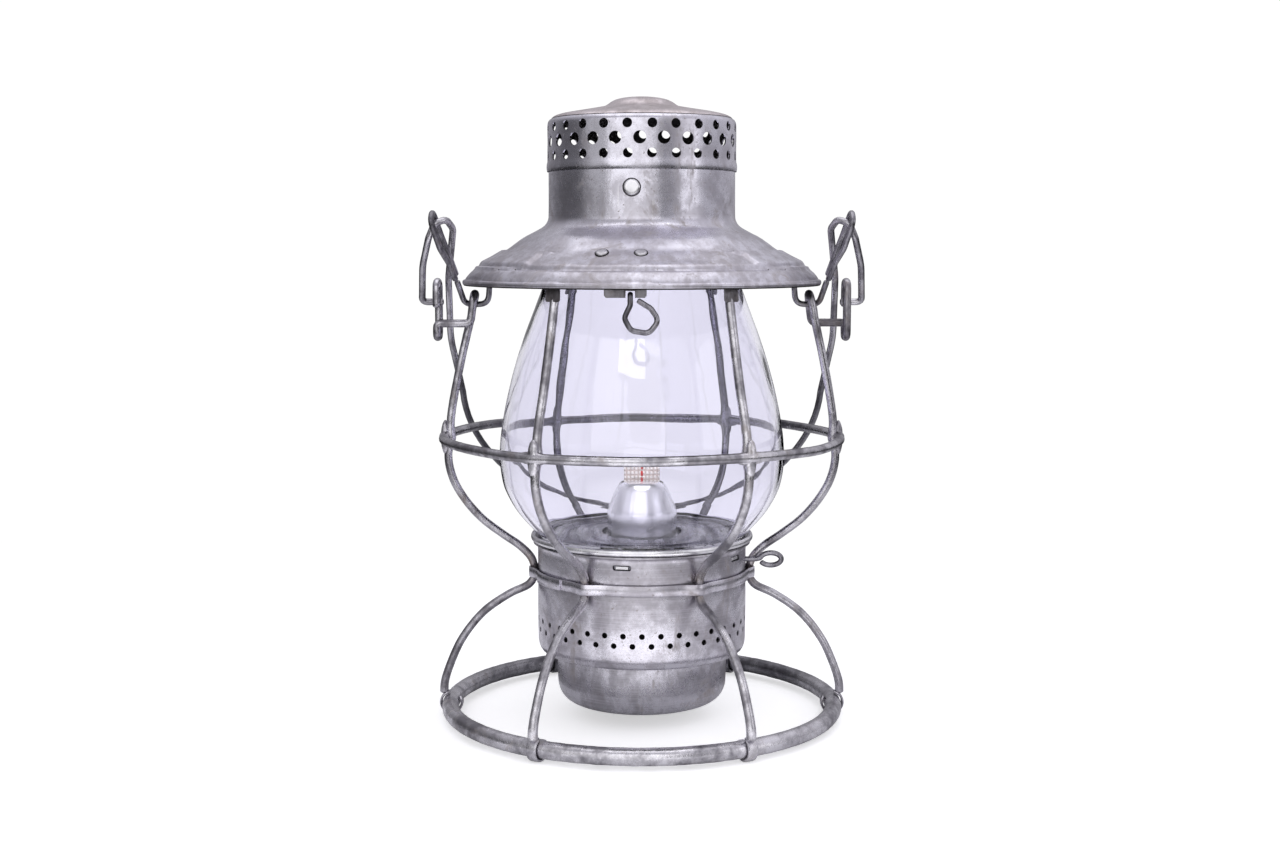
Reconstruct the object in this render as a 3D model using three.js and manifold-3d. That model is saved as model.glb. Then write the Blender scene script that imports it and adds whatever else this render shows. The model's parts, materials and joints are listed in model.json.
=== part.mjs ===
// Wire-cage railroad-style lantern. Millimetres, +Z up, front towards -Y, base on Z = 0.
import * as THREE from "three";
import { mergeVertices } from "three/addons/utils/BufferGeometryUtils.js";
import Module from "manifold-3d";

const wasm = await Module();
wasm.setup();

// ---------- driving dimensions ----------
const WIRE = 1.9; // cage wire radius
const EAR_WIRE = 1.75; // side wire radius, from the base ring to its eye
const BASE_RING = { radius: 83.9, tube: 3.7, z: 5.2 };
const GUARD_RING = { radius: 85.6, tube: 2.1, z: 122.7 };
const TOP_RING = { radius: 64.0, tube: 1.7, z: 193.0 };
const GUARD_CROSSING = 83.0; // radius at which the cage wires pass the guard ring
const STRAP = { gap: 0.3, thick: 1.2, width: 4.6 }; // leg end wrapped under the base ring

const SHEET = 0.8; // tinplate thickness
const GLASS = 2.2;
const BELL_RADIUS = 45.4;
const BELL_TOP = 77.9;
const BAND = { low: 61.3, high: 65.9, thick: 1.0 };
const SLOT = { count: 5, first: -10.6, z: 73.2, width: 8, height: 2.4 };
const AIR_HOLES = { count: 36, radius: 1.25, rows: [44.5, 40.3] };

const VENT_HOLES = { count: 25, small: 2.05, large: 2.7, rows: [255.1, 249.3, 243.1] };
const VENT_RADIUS = 40.3;
const CHIMNEY_RADIUS = 39.9;
const LIP_RADIUS = 77.0;
const HINGE = { y: 80.2, z: 186.6, pin: 1.2, knuckle: 2.4 };

const BAIL_WIRE = 1.5;
const BAIL_AXIS_Z = 181.3;
const BAIL_LEAN = 38; // degrees the hanging bail leans back from the vertical
const BAIL_HALF = 82.0; // half the width between its long legs
const BAIL_REACH = 143.0; // hinge axis to the far end of the loop
const LEG_OFFSET = 8.6; // the long legs pass this far behind the hinge axis
const CLIP_WIRE = 1.3;
const EYE = { x: 88.0, half: 4.1, low: 166.2, high: 189.9 };
const HOOK = { x: 73.6, top: 184.8, lean: 1.6 };
const BAR_Z = 172.2;

const WICK = { width: 15.9, thick: 1.6, low: 25.0, high: 111.2 };
const SHAFT = { y: 5.4, z: 75.2, radius: 1.2 };

const WIRE_SIDES = 6;
const DEG = Math.PI / 180;

// ---------- materials ----------
const TIN = { color: 0x9a99a2, metalness: 0.85, roughness: 0.42 };
const IRON = { color: 0x6f6d74, metalness: 0.8, roughness: 0.55 };
const BRIGHT = { color: 0xc9c9cf, metalness: 0.95, roughness: 0.2 };
const CLEAR = { color: 0xe9e6f2, metalness: 0, roughness: 0.05, transparent: true, opacity: 0.35 };
const COTTON = { color: 0xd9cfb6, metalness: 0, roughness: 0.95 };

const lantern = new THREE.Group();
lantern.name = "lantern";

// ---------- helpers ----------
const vec = (x, y, z) => new THREE.Vector3(x, y, z);

// A point at an azimuth (0 = front, 90 = right), a radius, a height and a tangential shift.
function polar(azimuth, radius, z, shift = 0) {
  const s = Math.sin(azimuth * DEG);
  const c = Math.cos(azimuth * DEG);
  return vec(radius * s + shift * c, -radius * c + shift * s, z);
}

// Drops normals and uvs, welds the vertices and turns an inside-out surface round.
function clean(geometry) {
  const bare = new THREE.BufferGeometry();
  const source = geometry.index ? geometry.toNonIndexed() : geometry;
  bare.setAttribute("position", source.getAttribute("position").clone());
  const welded = mergeVertices(bare, 1e-3);
  const p = welded.getAttribute("position");
  const index = welded.index.array;
  const [a, b, c] = [vec(0, 0, 0), vec(0, 0, 0), vec(0, 0, 0)];
  let volume = 0;
  for (let i = 0; i < index.length; i += 3) {
    a.fromBufferAttribute(p, index[i]);
    b.fromBufferAttribute(p, index[i + 1]);
    c.fromBufferAttribute(p, index[i + 2]);
    volume += a.dot(b.cross(c));
  }
  if (volume < 0) {
    for (let i = 0; i < index.length; i += 3) {
      [index[i + 1], index[i + 2]] = [index[i + 2], index[i + 1]];
    }
  }
  return welded;
}

function solid(geometry) {
  const g = clean(geometry);
  return new wasm.Manifold(
    new wasm.Mesh({
      numProp: 3,
      vertProperties: g.getAttribute("position").array,
      triVerts: new Uint32Array(g.index.array),
    }),
  );
}

function geometryOf(body) {
  const m = body.getMesh();
  const g = new THREE.BufferGeometry();
  g.setAttribute("position", new THREE.BufferAttribute(new Float32Array(m.vertProperties), 3));
  g.setIndex(new THREE.BufferAttribute(new Uint32Array(m.triVerts), 1));
  return g;
}

const join = (list) => list.reduce((sum, next) => sum.add(next));
const cut = (body, tools) => (tools.length ? body.subtract(join(tools)) : body);

// Adds one named piece; the shape is a geometry or a manifold solid.
function piece(name, shape, look) {
  const geometry = shape.isBufferGeometry ? clean(shape) : geometryOf(shape);
  geometry.computeVertexNormals();
  const mesh = new THREE.Mesh(geometry, new THREE.MeshStandardMaterial(look));
  mesh.name = name;
  lantern.add(mesh);
}

// A path that visits its own vertices one by one, so tight bends get short steps.
class Bent extends THREE.Curve {
  constructor(vertices) {
    super();
    this.vertices = vertices;
  }
  getPoint(t) {
    const last = this.vertices.length - 1;
    const at = Math.min(t * last, last - 1e-9);
    const i = Math.floor(at);
    return this.vertices[i].clone().lerp(this.vertices[i + 1], at - i);
  }
  getPointAt(u) {
    return this.getPoint(u);
  }
  getTangentAt(u) {
    const last = this.vertices.length - 1;
    const i = Math.round(u * last);
    const before = this.vertices[Math.max(i - 1, 0)];
    const after = this.vertices[Math.min(i + 1, last)];
    const into = this.vertices[i].clone().sub(before).normalize();
    const out = after.clone().sub(this.vertices[i]).normalize();
    return into.add(out).normalize();
  }
}

// Rounds the corners of [point, radius] stations into short straight steps.
function rounded(stations, stepAngle = 24) {
  const out = [stations[0][0]];
  for (let i = 1; i < stations.length - 1; i++) {
    const [corner, radius] = stations[i];
    const back = stations[i - 1][0].clone().sub(corner);
    const ahead = stations[i + 1][0].clone().sub(corner);
    const turn = Math.PI - back.angleTo(ahead);
    const reach = Math.min(
      radius * Math.tan(turn / 2),
      back.length() * 0.48,
      ahead.length() * 0.48,
    );
    const from = corner.clone().addScaledVector(back.normalize(), reach);
    const to = corner.clone().addScaledVector(ahead.normalize(), reach);
    const bend = new THREE.QuadraticBezierCurve3(from, corner, to);
    const steps = Math.max(1, Math.round(turn / DEG / stepAngle));
    out.push(...bend.getPoints(steps));
  }
  out.push(stations[stations.length - 1][0]);
  return out.filter((p, i) => i === 0 || p.distanceTo(out[i - 1]) > 0.05);
}

// A smooth curve through points, resampled into an even number of steps.
const smooth = (points, steps) => new THREE.CatmullRomCurve3(points).getPoints(steps);

// A round wire with closed ends along a list of vertices.
function wire(vertices, radius, sides = WIRE_SIDES) {
  const section = new THREE.Shape();
  for (let i = 0; i < sides; i++) {
    const a = (i / sides) * 2 * Math.PI;
    if (i === 0) section.moveTo(radius * Math.cos(a), radius * Math.sin(a));
    else section.lineTo(radius * Math.cos(a), radius * Math.sin(a));
  }
  section.closePath();
  return new THREE.ExtrudeGeometry(section, {
    steps: vertices.length - 1,
    extrudePath: new Bent(vertices),
    bevelEnabled: false,
    curveSegments: 1,
  });
}

function torus(radius, tube, z, sides, steps) {
  return new THREE.TorusGeometry(radius, tube, sides, steps).translate(0, 0, z);
}

// Turns a closed (radius, z) profile about Z.
function turned(profile, segments) {
  const points = profile.map(([r, z]) => new THREE.Vector2(r, z));
  return new THREE.LatheGeometry(points, segments).rotateX(Math.PI / 2);
}

// A sheet profile: the outer line, then the same line pushed inwards by the thickness.
function sheet(line, thick) {
  const inner = line.map(([r, z], i) => {
    const before = line[Math.max(i - 1, 0)];
    const after = line[Math.min(i + 1, line.length - 1)];
    const dr = after[0] - before[0];
    const dz = after[1] - before[1];
    const length = Math.hypot(dr, dz);
    const onAxis = r === 0;
    return onAxis ? [0, z - thick] : [r + (dz / length) * thick, z - (dr / length) * thick];
  });
  const closed = [...line, ...inner.reverse()];
  return line[0][0] === 0 ? closed : [...closed, line[0]];
}

// A flat outline extruded along +Z of its own plane.
function plate(outline, depth) {
  const shape = new THREE.Shape(outline.map(([a, b]) => new THREE.Vector2(a, b)));
  return new THREE.ExtrudeGeometry(shape, { depth, bevelEnabled: false, curveSegments: 1 });
}

function box(x0, x1, y0, y1, z0, z1) {
  const g = new THREE.BoxGeometry(x1 - x0, y1 - y0, z1 - z0);
  return g.translate((x0 + x1) / 2, (y0 + y1) / 2, (z0 + z1) / 2);
}

// A short bar lying along X, from x0 to x1.
function barX(radius, x0, x1, y, z, sides = 12) {
  const g = new THREE.CylinderGeometry(radius, radius, x1 - x0, sides).rotateZ(Math.PI / 2);
  return g.translate((x0 + x1) / 2, y, z);
}

// A radial drill at an azimuth, through a wall of the given radius.
function drill(radius, azimuth, wall, z, sides = 6) {
  const g = new THREE.CylinderGeometry(radius, radius, 8, sides);
  g.rotateZ(azimuth * DEG);
  g.translate(wall * Math.sin(azimuth * DEG), -wall * Math.cos(azimuth * DEG), z);
  return solid(g);
}

// ---------- cage ----------
// Lower course of every cage wire: guard ring, clamp band, then out to the base ring.
const UPPER_BOW = [
  [GUARD_CROSSING, GUARD_RING.z],
  [84.2, 114.0],
  [82.2, 104.5],
  [77.2, 95.5],
  [69.8, 87.0],
  [61.0, 80.2],
  [53.0, 74.6],
  [48.4, 69.6],
];
const BAND_RUN = [
  [47.7, 66.0],
  [47.7, 61.2],
];
const LEG_BOW = [
  [49.3, 58.0],
  [58.0, 53.6],
  [69.5, 45.5],
  [79.0, 33.6],
  [84.6, 21.5],
  [86.9, 14.0],
  [87.2, 9.1],
];

function lowerCourse(azimuth) {
  const line = [...UPPER_BOW, ...BAND_RUN, ...LEG_BOW];
  return smooth(line.map(([r, z]) => polar(azimuth, r, z)), 25);
}

// The flattened end of a leg, folded round the base ring.
function foldedEnd(azimuth) {
  const inner = BASE_RING.tube + STRAP.gap;
  const outer = inner + STRAP.thick;
  const outline = [];
  const steps = 9;
  const from = 78;
  const to = -214;
  const arc = (radius, k) => {
    const a = (from + ((to - from) * k) / steps) * DEG;
    return [radius * Math.cos(a), radius * Math.sin(a)];
  };
  for (let k = 0; k <= steps; k++) outline.push(arc(outer, k));
  for (let k = steps; k >= 0; k--) outline.push(arc(inner / Math.cos(16.3 * DEG), k));
  const g = plate(outline, STRAP.width).translate(BASE_RING.radius, BASE_RING.z, 0);
  g.translate(0, 0, -STRAP.width / 2).rotateX(Math.PI / 2);
  return g.rotateZ((azimuth - 90) * DEG);
}

function frontOrBackWire(azimuth) {
  const top = smooth(
    [
      polar(azimuth, 68.0, 194.2),
      polar(azimuth, 68.8, 187.0),
      polar(azimuth, 77.0, 151.0),
      polar(azimuth, 82.4, 131.0),
      polar(azimuth, GUARD_CROSSING, GUARD_RING.z),
    ],
    6,
  );
  return [...top, ...lowerCourse(azimuth).slice(1)];
}

// The side wires go on above the guard ring: a hook, a bar and an upright open eye.
function sideWire(azimuth) {
  const half = EYE.half;
  const at = (r, z, shift = 0) => polar(azimuth, r, z, shift);
  const rise = smooth(
    [at(GUARD_CROSSING, 122.7), at(82.9, 131), at(78.6, 155, -2.2), at(74.0, 175, -half)],
    5,
  );
  const ear = rounded(
    [
      [at(HOOK.x, 178, -half), 0],
      [at(HOOK.x - HOOK.lean, HOOK.top, -half), half],
      [at(HOOK.x - HOOK.lean, HOOK.top, half), half],
      [at(HOOK.x, BAR_Z, half), 2.6],
      [at(EYE.x, BAR_Z, half), 1.8],
      [at(EYE.x, EYE.low, half), half],
      [at(EYE.x, EYE.low, -half), half],
      [at(EYE.x, EYE.high, -half), half],
      [at(EYE.x, EYE.high, half), half],
      [at(EYE.x, 179.0, half), 0],
    ],
    30,
  );
  return [...lowerCourse(azimuth).reverse(), ...rise.slice(1), ...ear];
}

const CAGE = {
  cage_wire_front_left: -30,
  cage_wire_front_right: 30,
  cage_wire_back_left: -150,
  cage_wire_back_right: 150,
};
const notches = [];
for (const [name, azimuth] of Object.entries(CAGE)) {
  const run = frontOrBackWire(azimuth);
  piece(name, solid(wire(run, WIRE)).add(solid(foldedEnd(azimuth))), IRON);
  notches.push(solid(wire(run.slice(4, 9), WIRE + 0.35)));
}
for (const [name, azimuth] of [["side_wire_left", -90], ["side_wire_right", 90]]) {
  const run = sideWire(azimuth);
  piece(name, solid(wire(run, EAR_WIRE)).add(solid(foldedEnd(azimuth))), IRON);
  const near = run.filter((p) => Math.abs(p.z - GUARD_RING.z) < 12 && Math.hypot(p.x, p.y) > 81);
  notches.push(solid(wire(near, EAR_WIRE + 0.35)));
}

piece("base_ring", torus(BASE_RING.radius, BASE_RING.tube, BASE_RING.z, 8, 40), IRON);
const guard = solid(torus(GUARD_RING.radius, GUARD_RING.tube, GUARD_RING.z, 6, 42));
piece("guard_ring", cut(guard, notches), IRON);
piece("top_ring", torus(TOP_RING.radius, TOP_RING.tube, TOP_RING.z, 6, 30), IRON);

// ---------- clamp band ----------
// Hugs the bell and swells over each cage wire.
function bandOutline(clearance) {
  const outline = [];
  const offsets = [-24, -16, -9, -4.2, 0, 4.2, 9, 16, 24];
  for (let azimuth = -150; azimuth <= 150; azimuth += 60) {
    for (const turn of offsets) {
      const near = Math.abs(turn);
      const swell = near < 1 ? 4.4 : near < 5 ? 3.9 : 0;
      const p = polar(azimuth + turn, BELL_RADIUS + 0.4 + swell + clearance, 0);
      outline.push([p.x, p.y]);
    }
  }
  return outline;
}
const bandShape = new THREE.Shape(bandOutline(BAND.thick).map(([x, y]) => new THREE.Vector2(x, y)));
bandShape.holes.push(new THREE.Path(bandOutline(0).map(([x, y]) => new THREE.Vector2(x, y))));
const bandBody = new THREE.ExtrudeGeometry(bandShape, {
  depth: BAND.high - BAND.low,
  bevelEnabled: false,
});
piece("clamp_band", bandBody.translate(0, 0, BAND.low), TIN);

// ---------- bell ----------
const bellLine = [
  [47.4, BELL_TOP - SHEET],
  [BELL_RADIUS + 0.6, BELL_TOP - 1.3],
  [BELL_RADIUS, BELL_TOP - 2.8],
  [BELL_RADIUS, 34.0],
  [44.6, 31.0],
  [42.2, 29.4],
];
const bellCuts = [];
AIR_HOLES.rows.forEach((z, row) => {
  for (let i = 0; i < AIR_HOLES.count; i++) {
    const azimuth = ((i + row / 2) * 360) / AIR_HOLES.count;
    bellCuts.push(drill(AIR_HOLES.radius, azimuth, BELL_RADIUS, z, 5));
  }
});
const slotAzimuths = Array.from({ length: SLOT.count }, (_, i) => SLOT.first + (i * 360) / SLOT.count);
for (const azimuth of slotAzimuths) {
  const g = box(-SLOT.width / 2, SLOT.width / 2, -50, -41, SLOT.z - SLOT.height / 2, SLOT.z + SLOT.height / 2);
  bellCuts.push(solid(g.rotateZ(azimuth * DEG)));
}
const CATCH = { y: -4.7, z: 69.8, wire: 1.2 };
bellCuts.push(solid(barX(CATCH.wire + 0.4, 40, 50, CATCH.y, CATCH.z, 10)));
piece("bell", cut(solid(turned(sheet(bellLine, SHEET), 36)), bellCuts), TIN);

// ---------- globe seat, with its tabs behind the slots ----------
const seatProfile = [
  [47.2, 78.2],
  [48.2, 78.6],
  [48.2, 81.0],
  [47.2, 81.2],
  [47.0, 79.9],
  [31.0, 79.9],
  [30.0, 81.0],
  [20.0, 81.0],
  [20.0, 80.2],
  [29.6, 80.2],
  [30.6, 79.1],
  [46.6, 79.1],
  [47.2, 78.2],
];
const tabs = slotAzimuths.map((azimuth) =>
  solid(box(-6, 6, -44.0, -43.0, 70.2, 79.4).rotateZ(azimuth * DEG)),
);
piece("globe_seat", join([solid(turned(seatProfile, 30)), ...tabs]), TIN);

// ---------- globe ----------
const globeLine = [
  [37.6, 206.0],
  [39.2, 198.0],
  [43.0, 187.0],
  [51.3, 164.7],
  [57.7, 143.1],
  [61.3, 123.5],
  [61.8, 114.0],
  [60.4, 103.2],
  [56.6, 94.8],
  [50.6, 86.7],
  [47.0, 82.6],
  [44.6, 80.3],
];
piece("globe", turned(sheet(globeLine, GLASS), 32), CLEAR);

// ---------- lid ----------
const lidLine = [
  [CHIMNEY_RADIUS, 236.2],
  [CHIMNEY_RADIUS, 216.6],
  [42.1, 213.4],
  [50.6, 209.1],
  [57.5, 203.4],
  [66.5, 198.2],
  [70.3, 196.4],
  [74.5, 192.2],
  [LIP_RADIUS, 190.4],
  [LIP_RADIUS, 188.5],
];
piece("lid_brim", turned(sheet(lidLine, SHEET), 32), TIN);

const ventLine = [
  [39.4, 258.0],
  [VENT_RADIUS, 256.8],
  [VENT_RADIUS, 241.3],
  [40.9, 240.0],
  [40.9, 237.4],
  [VENT_RADIUS, 236.5],
];
const ventCuts = [];
VENT_HOLES.rows.forEach((z, row) => {
  const middle = row === 1;
  for (let i = 0; i < VENT_HOLES.count; i++) {
    const azimuth = ((i + (middle ? 0 : 0.5)) * 360) / VENT_HOLES.count;
    ventCuts.push(drill(middle ? VENT_HOLES.large : VENT_HOLES.small, azimuth, VENT_RADIUS, z, 5));
  }
});
piece("vent_band", cut(solid(turned(sheet(ventLine, SHEET), 25)), ventCuts), TIN);

const capLine = [
  [0, 268.5],
  [9.0, 267.8],
  [14.6, 265.2],
  [17.0, 264.0],
  [29.0, 261.8],
  [39.4, 259.1],
];
piece("cap_top", turned(sheet(capLine, 0.7), 28), TIN);

// Domed rivet head standing on a surface, pointing along the given direction.
function rivet(radius, height, at, towards) {
  const g = turned([[0, height], [radius * 0.62, height * 0.8], [radius, 0], [0, 0]], 12);
  const turn = new THREE.Quaternion().setFromUnitVectors(vec(0, 0, 1), towards.normalize());
  return g.applyQuaternion(turn).translate(at.x, at.y, at.z);
}
piece("chimney_rivet", rivet(3.3, 1.3, polar(-6, 40.3, 229.2), polar(-6, 1, 0)), TIN);
for (const [name, azimuth] of [["brim_rivet_left", -15.5], ["brim_rivet_right", -0.4]]) {
  const normal = polar(azimuth, 0.5, 0.866);
  piece(name, rivet(2.5, 1.1, polar(azimuth, 60.0, 202.4), normal), TIN);
}

// Latch plate under the front of the brim, notched for the pull.
const PULL = { x: -4.6, wire: 1.1 };
const latchOutline = [
  [-14.9, 185.3],
  [PULL.x - 1.8, 185.3],
  [PULL.x - 1.8, 188.2],
  [PULL.x + 1.8, 188.2],
  [PULL.x + 1.8, 185.3],
  [1.8, 185.3],
  [1.8, 190.8],
  [-14.9, 190.8],
];
piece("latch_plate", plate(latchOutline, 1.0).rotateX(Math.PI / 2).translate(0, -71.4, 0), TIN);

const pullRun = rounded(
  [
    [vec(PULL.x, -66.0, 186.6), 0],
    [vec(PULL.x, -75.2, 186.6), 1.6],
    [vec(PULL.x, -75.2, 182.6), 2],
    [vec(-7.0, -75.2, 177.6), 3],
    [vec(-4.4, -75.2, 172.8), 3.6],
    [vec(2.6, -75.2, 171.6), 3.6],
    [vec(6.6, -75.2, 176.6), 3.6],
    [vec(3.4, -75.2, 181.4), 3],
    [vec(-1.8, -75.2, 184.6), 0],
  ],
  24,
);
piece("latch_pull", wire(pullRun, PULL.wire), IRON);

// ---------- lid hinge at the back ----------
const leafOutline = [
  [HINGE.y - 0.5, HINGE.z + 1.9],
  [HINGE.y + 1.0, HINGE.z + 1.8],
  [79.4, 191.6],
  [76.2, 194.0],
  [71.9, 198.3],
  [66.9, 200.6],
  [66.3, 199.5],
  [71.2, 197.2],
  [75.3, 193.0],
  [78.2, 190.9],
  [78.2, 189.4],
];
const alongX = (outline, x0, x1) =>
  solid(plate(outline, x1 - x0).rotateX(Math.PI / 2).rotateZ(Math.PI / 2).translate(x0, 0, 0));
const bore = solid(barX(HINGE.pin + 0.35, -12, 12, HINGE.y, HINGE.z));
const knuckle = (x0, x1) => solid(barX(HINGE.knuckle, x0, x1, HINGE.y, HINGE.z));
const leafLow = [
  [HINGE.y - 1.4, HINGE.z],
  [HINGE.y + 1.4, HINGE.z],
  [HINGE.y + 1.0, HINGE.z + 3.6],
  [HINGE.y - 1.2, HINGE.z + 3.8],
];
const leafUpper = [[78.2, 189.6], [79.6, 189.6], ...leafOutline.slice(2, 10)];
piece(
  "lid_hinge_leaf",
  cut(join([alongX(leafUpper, -7, 7), alongX(leafLow, -2.9, 2.9), knuckle(-2.9, 2.9)]), [bore]),
  TIN,
);
const bracketOutline = [
  [HINGE.y - 0.6, HINGE.z - 2.3],
  [HINGE.y - 0.6, HINGE.z - 1.3],
  [76.0, 185.6],
  [70.6, 186.2],
  [67.2, 190.4],
  [67.2, 194.2],
  [66.1, 194.2],
  [66.1, 190.0],
  [70.0, 185.0],
  [76.0, 184.4],
];
const brackets = [[-7.0, -3.2], [3.2, 7.0]].map(([x0, x1]) => knuckle(x0, x1));
piece(
  "hinge_bracket",
  cut(join([alongX(bracketOutline, -7, 7), ...brackets]), [
    bore,
    solid(box(-3.2, 3.2, HINGE.y - 2.8, HINGE.y + 4, HINGE.z - 4, HINGE.z + 4)),
  ]),
  TIN,
);
piece("hinge_pin", barX(HINGE.pin, -8, 8, HINGE.y, HINGE.z), IRON);

// ---------- bail and its clips ----------
// The bail is drawn flat (x, along the leg, behind the leg) and then leaned back.
const lean = BAIL_LEAN * DEG;
function onBail(x, along, behind) {
  return vec(
    x,
    -along * Math.sin(lean) + behind * Math.cos(lean),
    BAIL_AXIS_Z + along * Math.cos(lean) + behind * Math.sin(lean),
  );
}
const bailSide = (side) =>
  rounded(
    [
      [onBail(side * 85.4, 0, 0), 0],
      [onBail(side * 94.8, 0, 0), 2.4],
      [onBail(side * 92.8, 20, 0), 40],
      [onBail(side * 89.2, 34.2, 0.6), 4],
      [onBail(side * 86.2, 40.2, 3.2), 3.4],
      [onBail(side * 81.6, 39.4, 6.6), 3.4],
      [onBail(side * 79.4, 33.0, LEG_OFFSET), 5],
      [onBail(side * 83.6, 6, LEG_OFFSET), 60],
      [onBail(side * 85.2, -28, LEG_OFFSET), 80],
      [onBail(side * BAIL_HALF, BAIL_HALF - BAIL_REACH, LEG_OFFSET), 0],
    ],
    26,
  );
const bow = [];
for (let k = 1; k < 18; k++) {
  const a = Math.PI + (k / 18) * Math.PI;
  const along = BAIL_HALF - BAIL_REACH + BAIL_HALF * Math.sin(a);
  bow.push(onBail(BAIL_HALF * Math.cos(a), along, LEG_OFFSET));
}
piece("bail", wire([...bailSide(-1), ...bow, ...bailSide(1).reverse()], BAIL_WIRE), IRON);

for (const [hand, side] of [["left", -1], ["right", 1]]) {
  const clip = rounded(
    [
      [onBail(side * 79.2, 13.4, 1.7), 0],
      [onBail(side * 81.0, 21.5, 2.0), 20],
      [onBail(side * 84.6, 31.0, 6.4), 8],
      [onBail(side * 87.4, 43.9, 7.0), 3.7],
      [onBail(side * 87.4, 43.9, -0.6), 3.7],
      [onBail(side * 84.4, 31.0, -2.4), 12],
      [onBail(side * 80.8, 21.5, -1.9), 20],
      [onBail(side * 79.2, 13.4, -1.6), 0],
    ],
    30,
  );
  piece("bail_clip_" + hand, wire(clip, CLIP_WIRE), IRON);
  const rest = rounded(
    [
      [vec(side * 65.6, 0, 188.8), 0],
      [vec(side * 66.2, 0, BAIL_AXIS_Z - 1.0), 4.6],
      [vec(side * 76.2, 0, BAIL_AXIS_Z - 1.0), 4.0],
      [onBail(side * 78.9, 11.6, 0), 0],
    ],
    24,
  );
  piece("bail_rest_" + hand, wire(rest, CLIP_WIRE), IRON);
}

// ---------- fount catch at the right ----------
const catchRun = rounded(
  [
    [vec(39.0, CATCH.y, CATCH.z), 0],
    [vec(50.9, CATCH.y, CATCH.z), 2],
    [vec(53.0, CATCH.y, CATCH.z + 2.7), 2.4],
    [vec(59.4, CATCH.y, CATCH.z + 2.7), 2.6],
    [vec(59.8, CATCH.y, CATCH.z - 2.7), 2.6],
    [vec(51.2, CATCH.y, CATCH.z - 2.9), 0],
  ],
  24,
);
piece("catch_pull", wire(catchRun, CATCH.wire), IRON);

// ---------- fount and burner ----------
const fountProfile = [
  [0, 6.4],
  [28.0, 6.4],
  [33.6, 8.2],
  [36.4, 11.6],
  [37.0, 15.0],
  [37.0, 58.0],
  [40.4, 60.0],
  [40.4, 61.2],
  [36.0, 62.6],
  [16.0, 66.6],
  [10.8, 67.2],
  [10.8, 72.0],
  [9.8, 72.0],
  [9.8, 66.2],
  [16.0, 65.6],
  [35.8, 61.4],
  [36.0, 15.0],
  [33.0, 9.4],
  [28.0, 7.4],
  [0, 7.4],
];
piece("oil_fount", turned(fountProfile, 28), TIN);

const burnerLine = [
  [18.8, 78.9],
  [12.6, 78.3],
  [11.6, 77.2],
  [11.6, 72.4],
];
const shaftHole = solid(barX(SHAFT.radius + 0.5, 2, 24, SHAFT.y, SHAFT.z, 8));
piece("burner_base", cut(solid(turned(sheet(burnerLine, SHEET), 24)), [shaftHole]), BRIGHT);

const coneLine = [
  [0, 103.8],
  [8.4, 103.4],
  [10.8, 101.6],
  [13.2, 96.0],
  [15.0, 91.2],
  [15.2, 88.6],
  [15.2, 79.9],
];
const wickSlot = solid(box(-9.4, 9.4, -3.0, 3.0, 98, 108));
piece("burner_cone", cut(solid(turned(sheet(coneLine, 0.7), 24)), [wickSlot]), BRIGHT);

const tubeWalls = solid(box(-8.9, 8.9, -1.9, 1.9, 58, 100));
const tubeBore = solid(box(-8.3, 8.3, -1.2, 1.2, 57, 101));
piece("wick_tube", cut(tubeWalls, [tubeBore]), BRIGHT);

const spurs = [-4.6, 4.6].map((x) => solid(barX(3.0, x - 0.6, x + 0.6, SHAFT.y, SHAFT.z, 12)));
const knob = solid(barX(3.4, 24.4, 27.0, SHAFT.y, SHAFT.z, 14));
const shaft = solid(barX(SHAFT.radius, -7.4, 25.4, SHAFT.y, SHAFT.z, 8));
piece("wick_raiser", join([shaft, knob, ...spurs]), BRIGHT);

piece(
  "wick",
  box(-WICK.width / 2, WICK.width / 2, -WICK.thick / 2, WICK.thick / 2, WICK.low, WICK.high),
  COTTON,
);

export default lantern;
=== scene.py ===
import json
import math

import bpy
import numpy as np
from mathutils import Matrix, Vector, noise


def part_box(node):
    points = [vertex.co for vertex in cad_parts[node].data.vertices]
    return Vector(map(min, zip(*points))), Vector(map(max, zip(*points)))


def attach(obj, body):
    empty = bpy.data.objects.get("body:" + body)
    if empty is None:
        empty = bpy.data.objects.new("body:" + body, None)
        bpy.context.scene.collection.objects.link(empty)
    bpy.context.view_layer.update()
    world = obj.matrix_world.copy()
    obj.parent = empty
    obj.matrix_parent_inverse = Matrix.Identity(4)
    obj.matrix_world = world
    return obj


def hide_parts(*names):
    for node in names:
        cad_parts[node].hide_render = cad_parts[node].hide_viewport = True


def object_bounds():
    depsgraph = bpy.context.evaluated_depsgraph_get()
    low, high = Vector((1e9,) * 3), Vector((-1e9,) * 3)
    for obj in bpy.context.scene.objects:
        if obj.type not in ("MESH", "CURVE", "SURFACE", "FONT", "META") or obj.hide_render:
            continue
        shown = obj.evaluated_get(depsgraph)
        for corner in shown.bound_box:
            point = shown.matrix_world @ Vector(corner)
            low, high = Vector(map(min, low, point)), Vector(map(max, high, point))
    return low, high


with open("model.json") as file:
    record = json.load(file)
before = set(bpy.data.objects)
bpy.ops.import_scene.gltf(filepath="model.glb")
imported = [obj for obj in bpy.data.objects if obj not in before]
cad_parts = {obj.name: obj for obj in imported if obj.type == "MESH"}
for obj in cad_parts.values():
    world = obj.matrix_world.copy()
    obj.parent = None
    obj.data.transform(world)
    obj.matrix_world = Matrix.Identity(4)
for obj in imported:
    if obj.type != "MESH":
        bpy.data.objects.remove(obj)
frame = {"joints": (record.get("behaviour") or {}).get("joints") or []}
CAD_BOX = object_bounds()
MM = 0.001
DEG = math.pi / 180


# ---------------------------------------------------------------- placing
def mid(node):
    low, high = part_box(node)
    return [(a + b) / 2 / MM for a, b in zip(low, high)]


def low(node):
    return [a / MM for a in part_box(node)[0]]


def high(node):
    return [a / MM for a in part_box(node)[1]]


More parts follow.
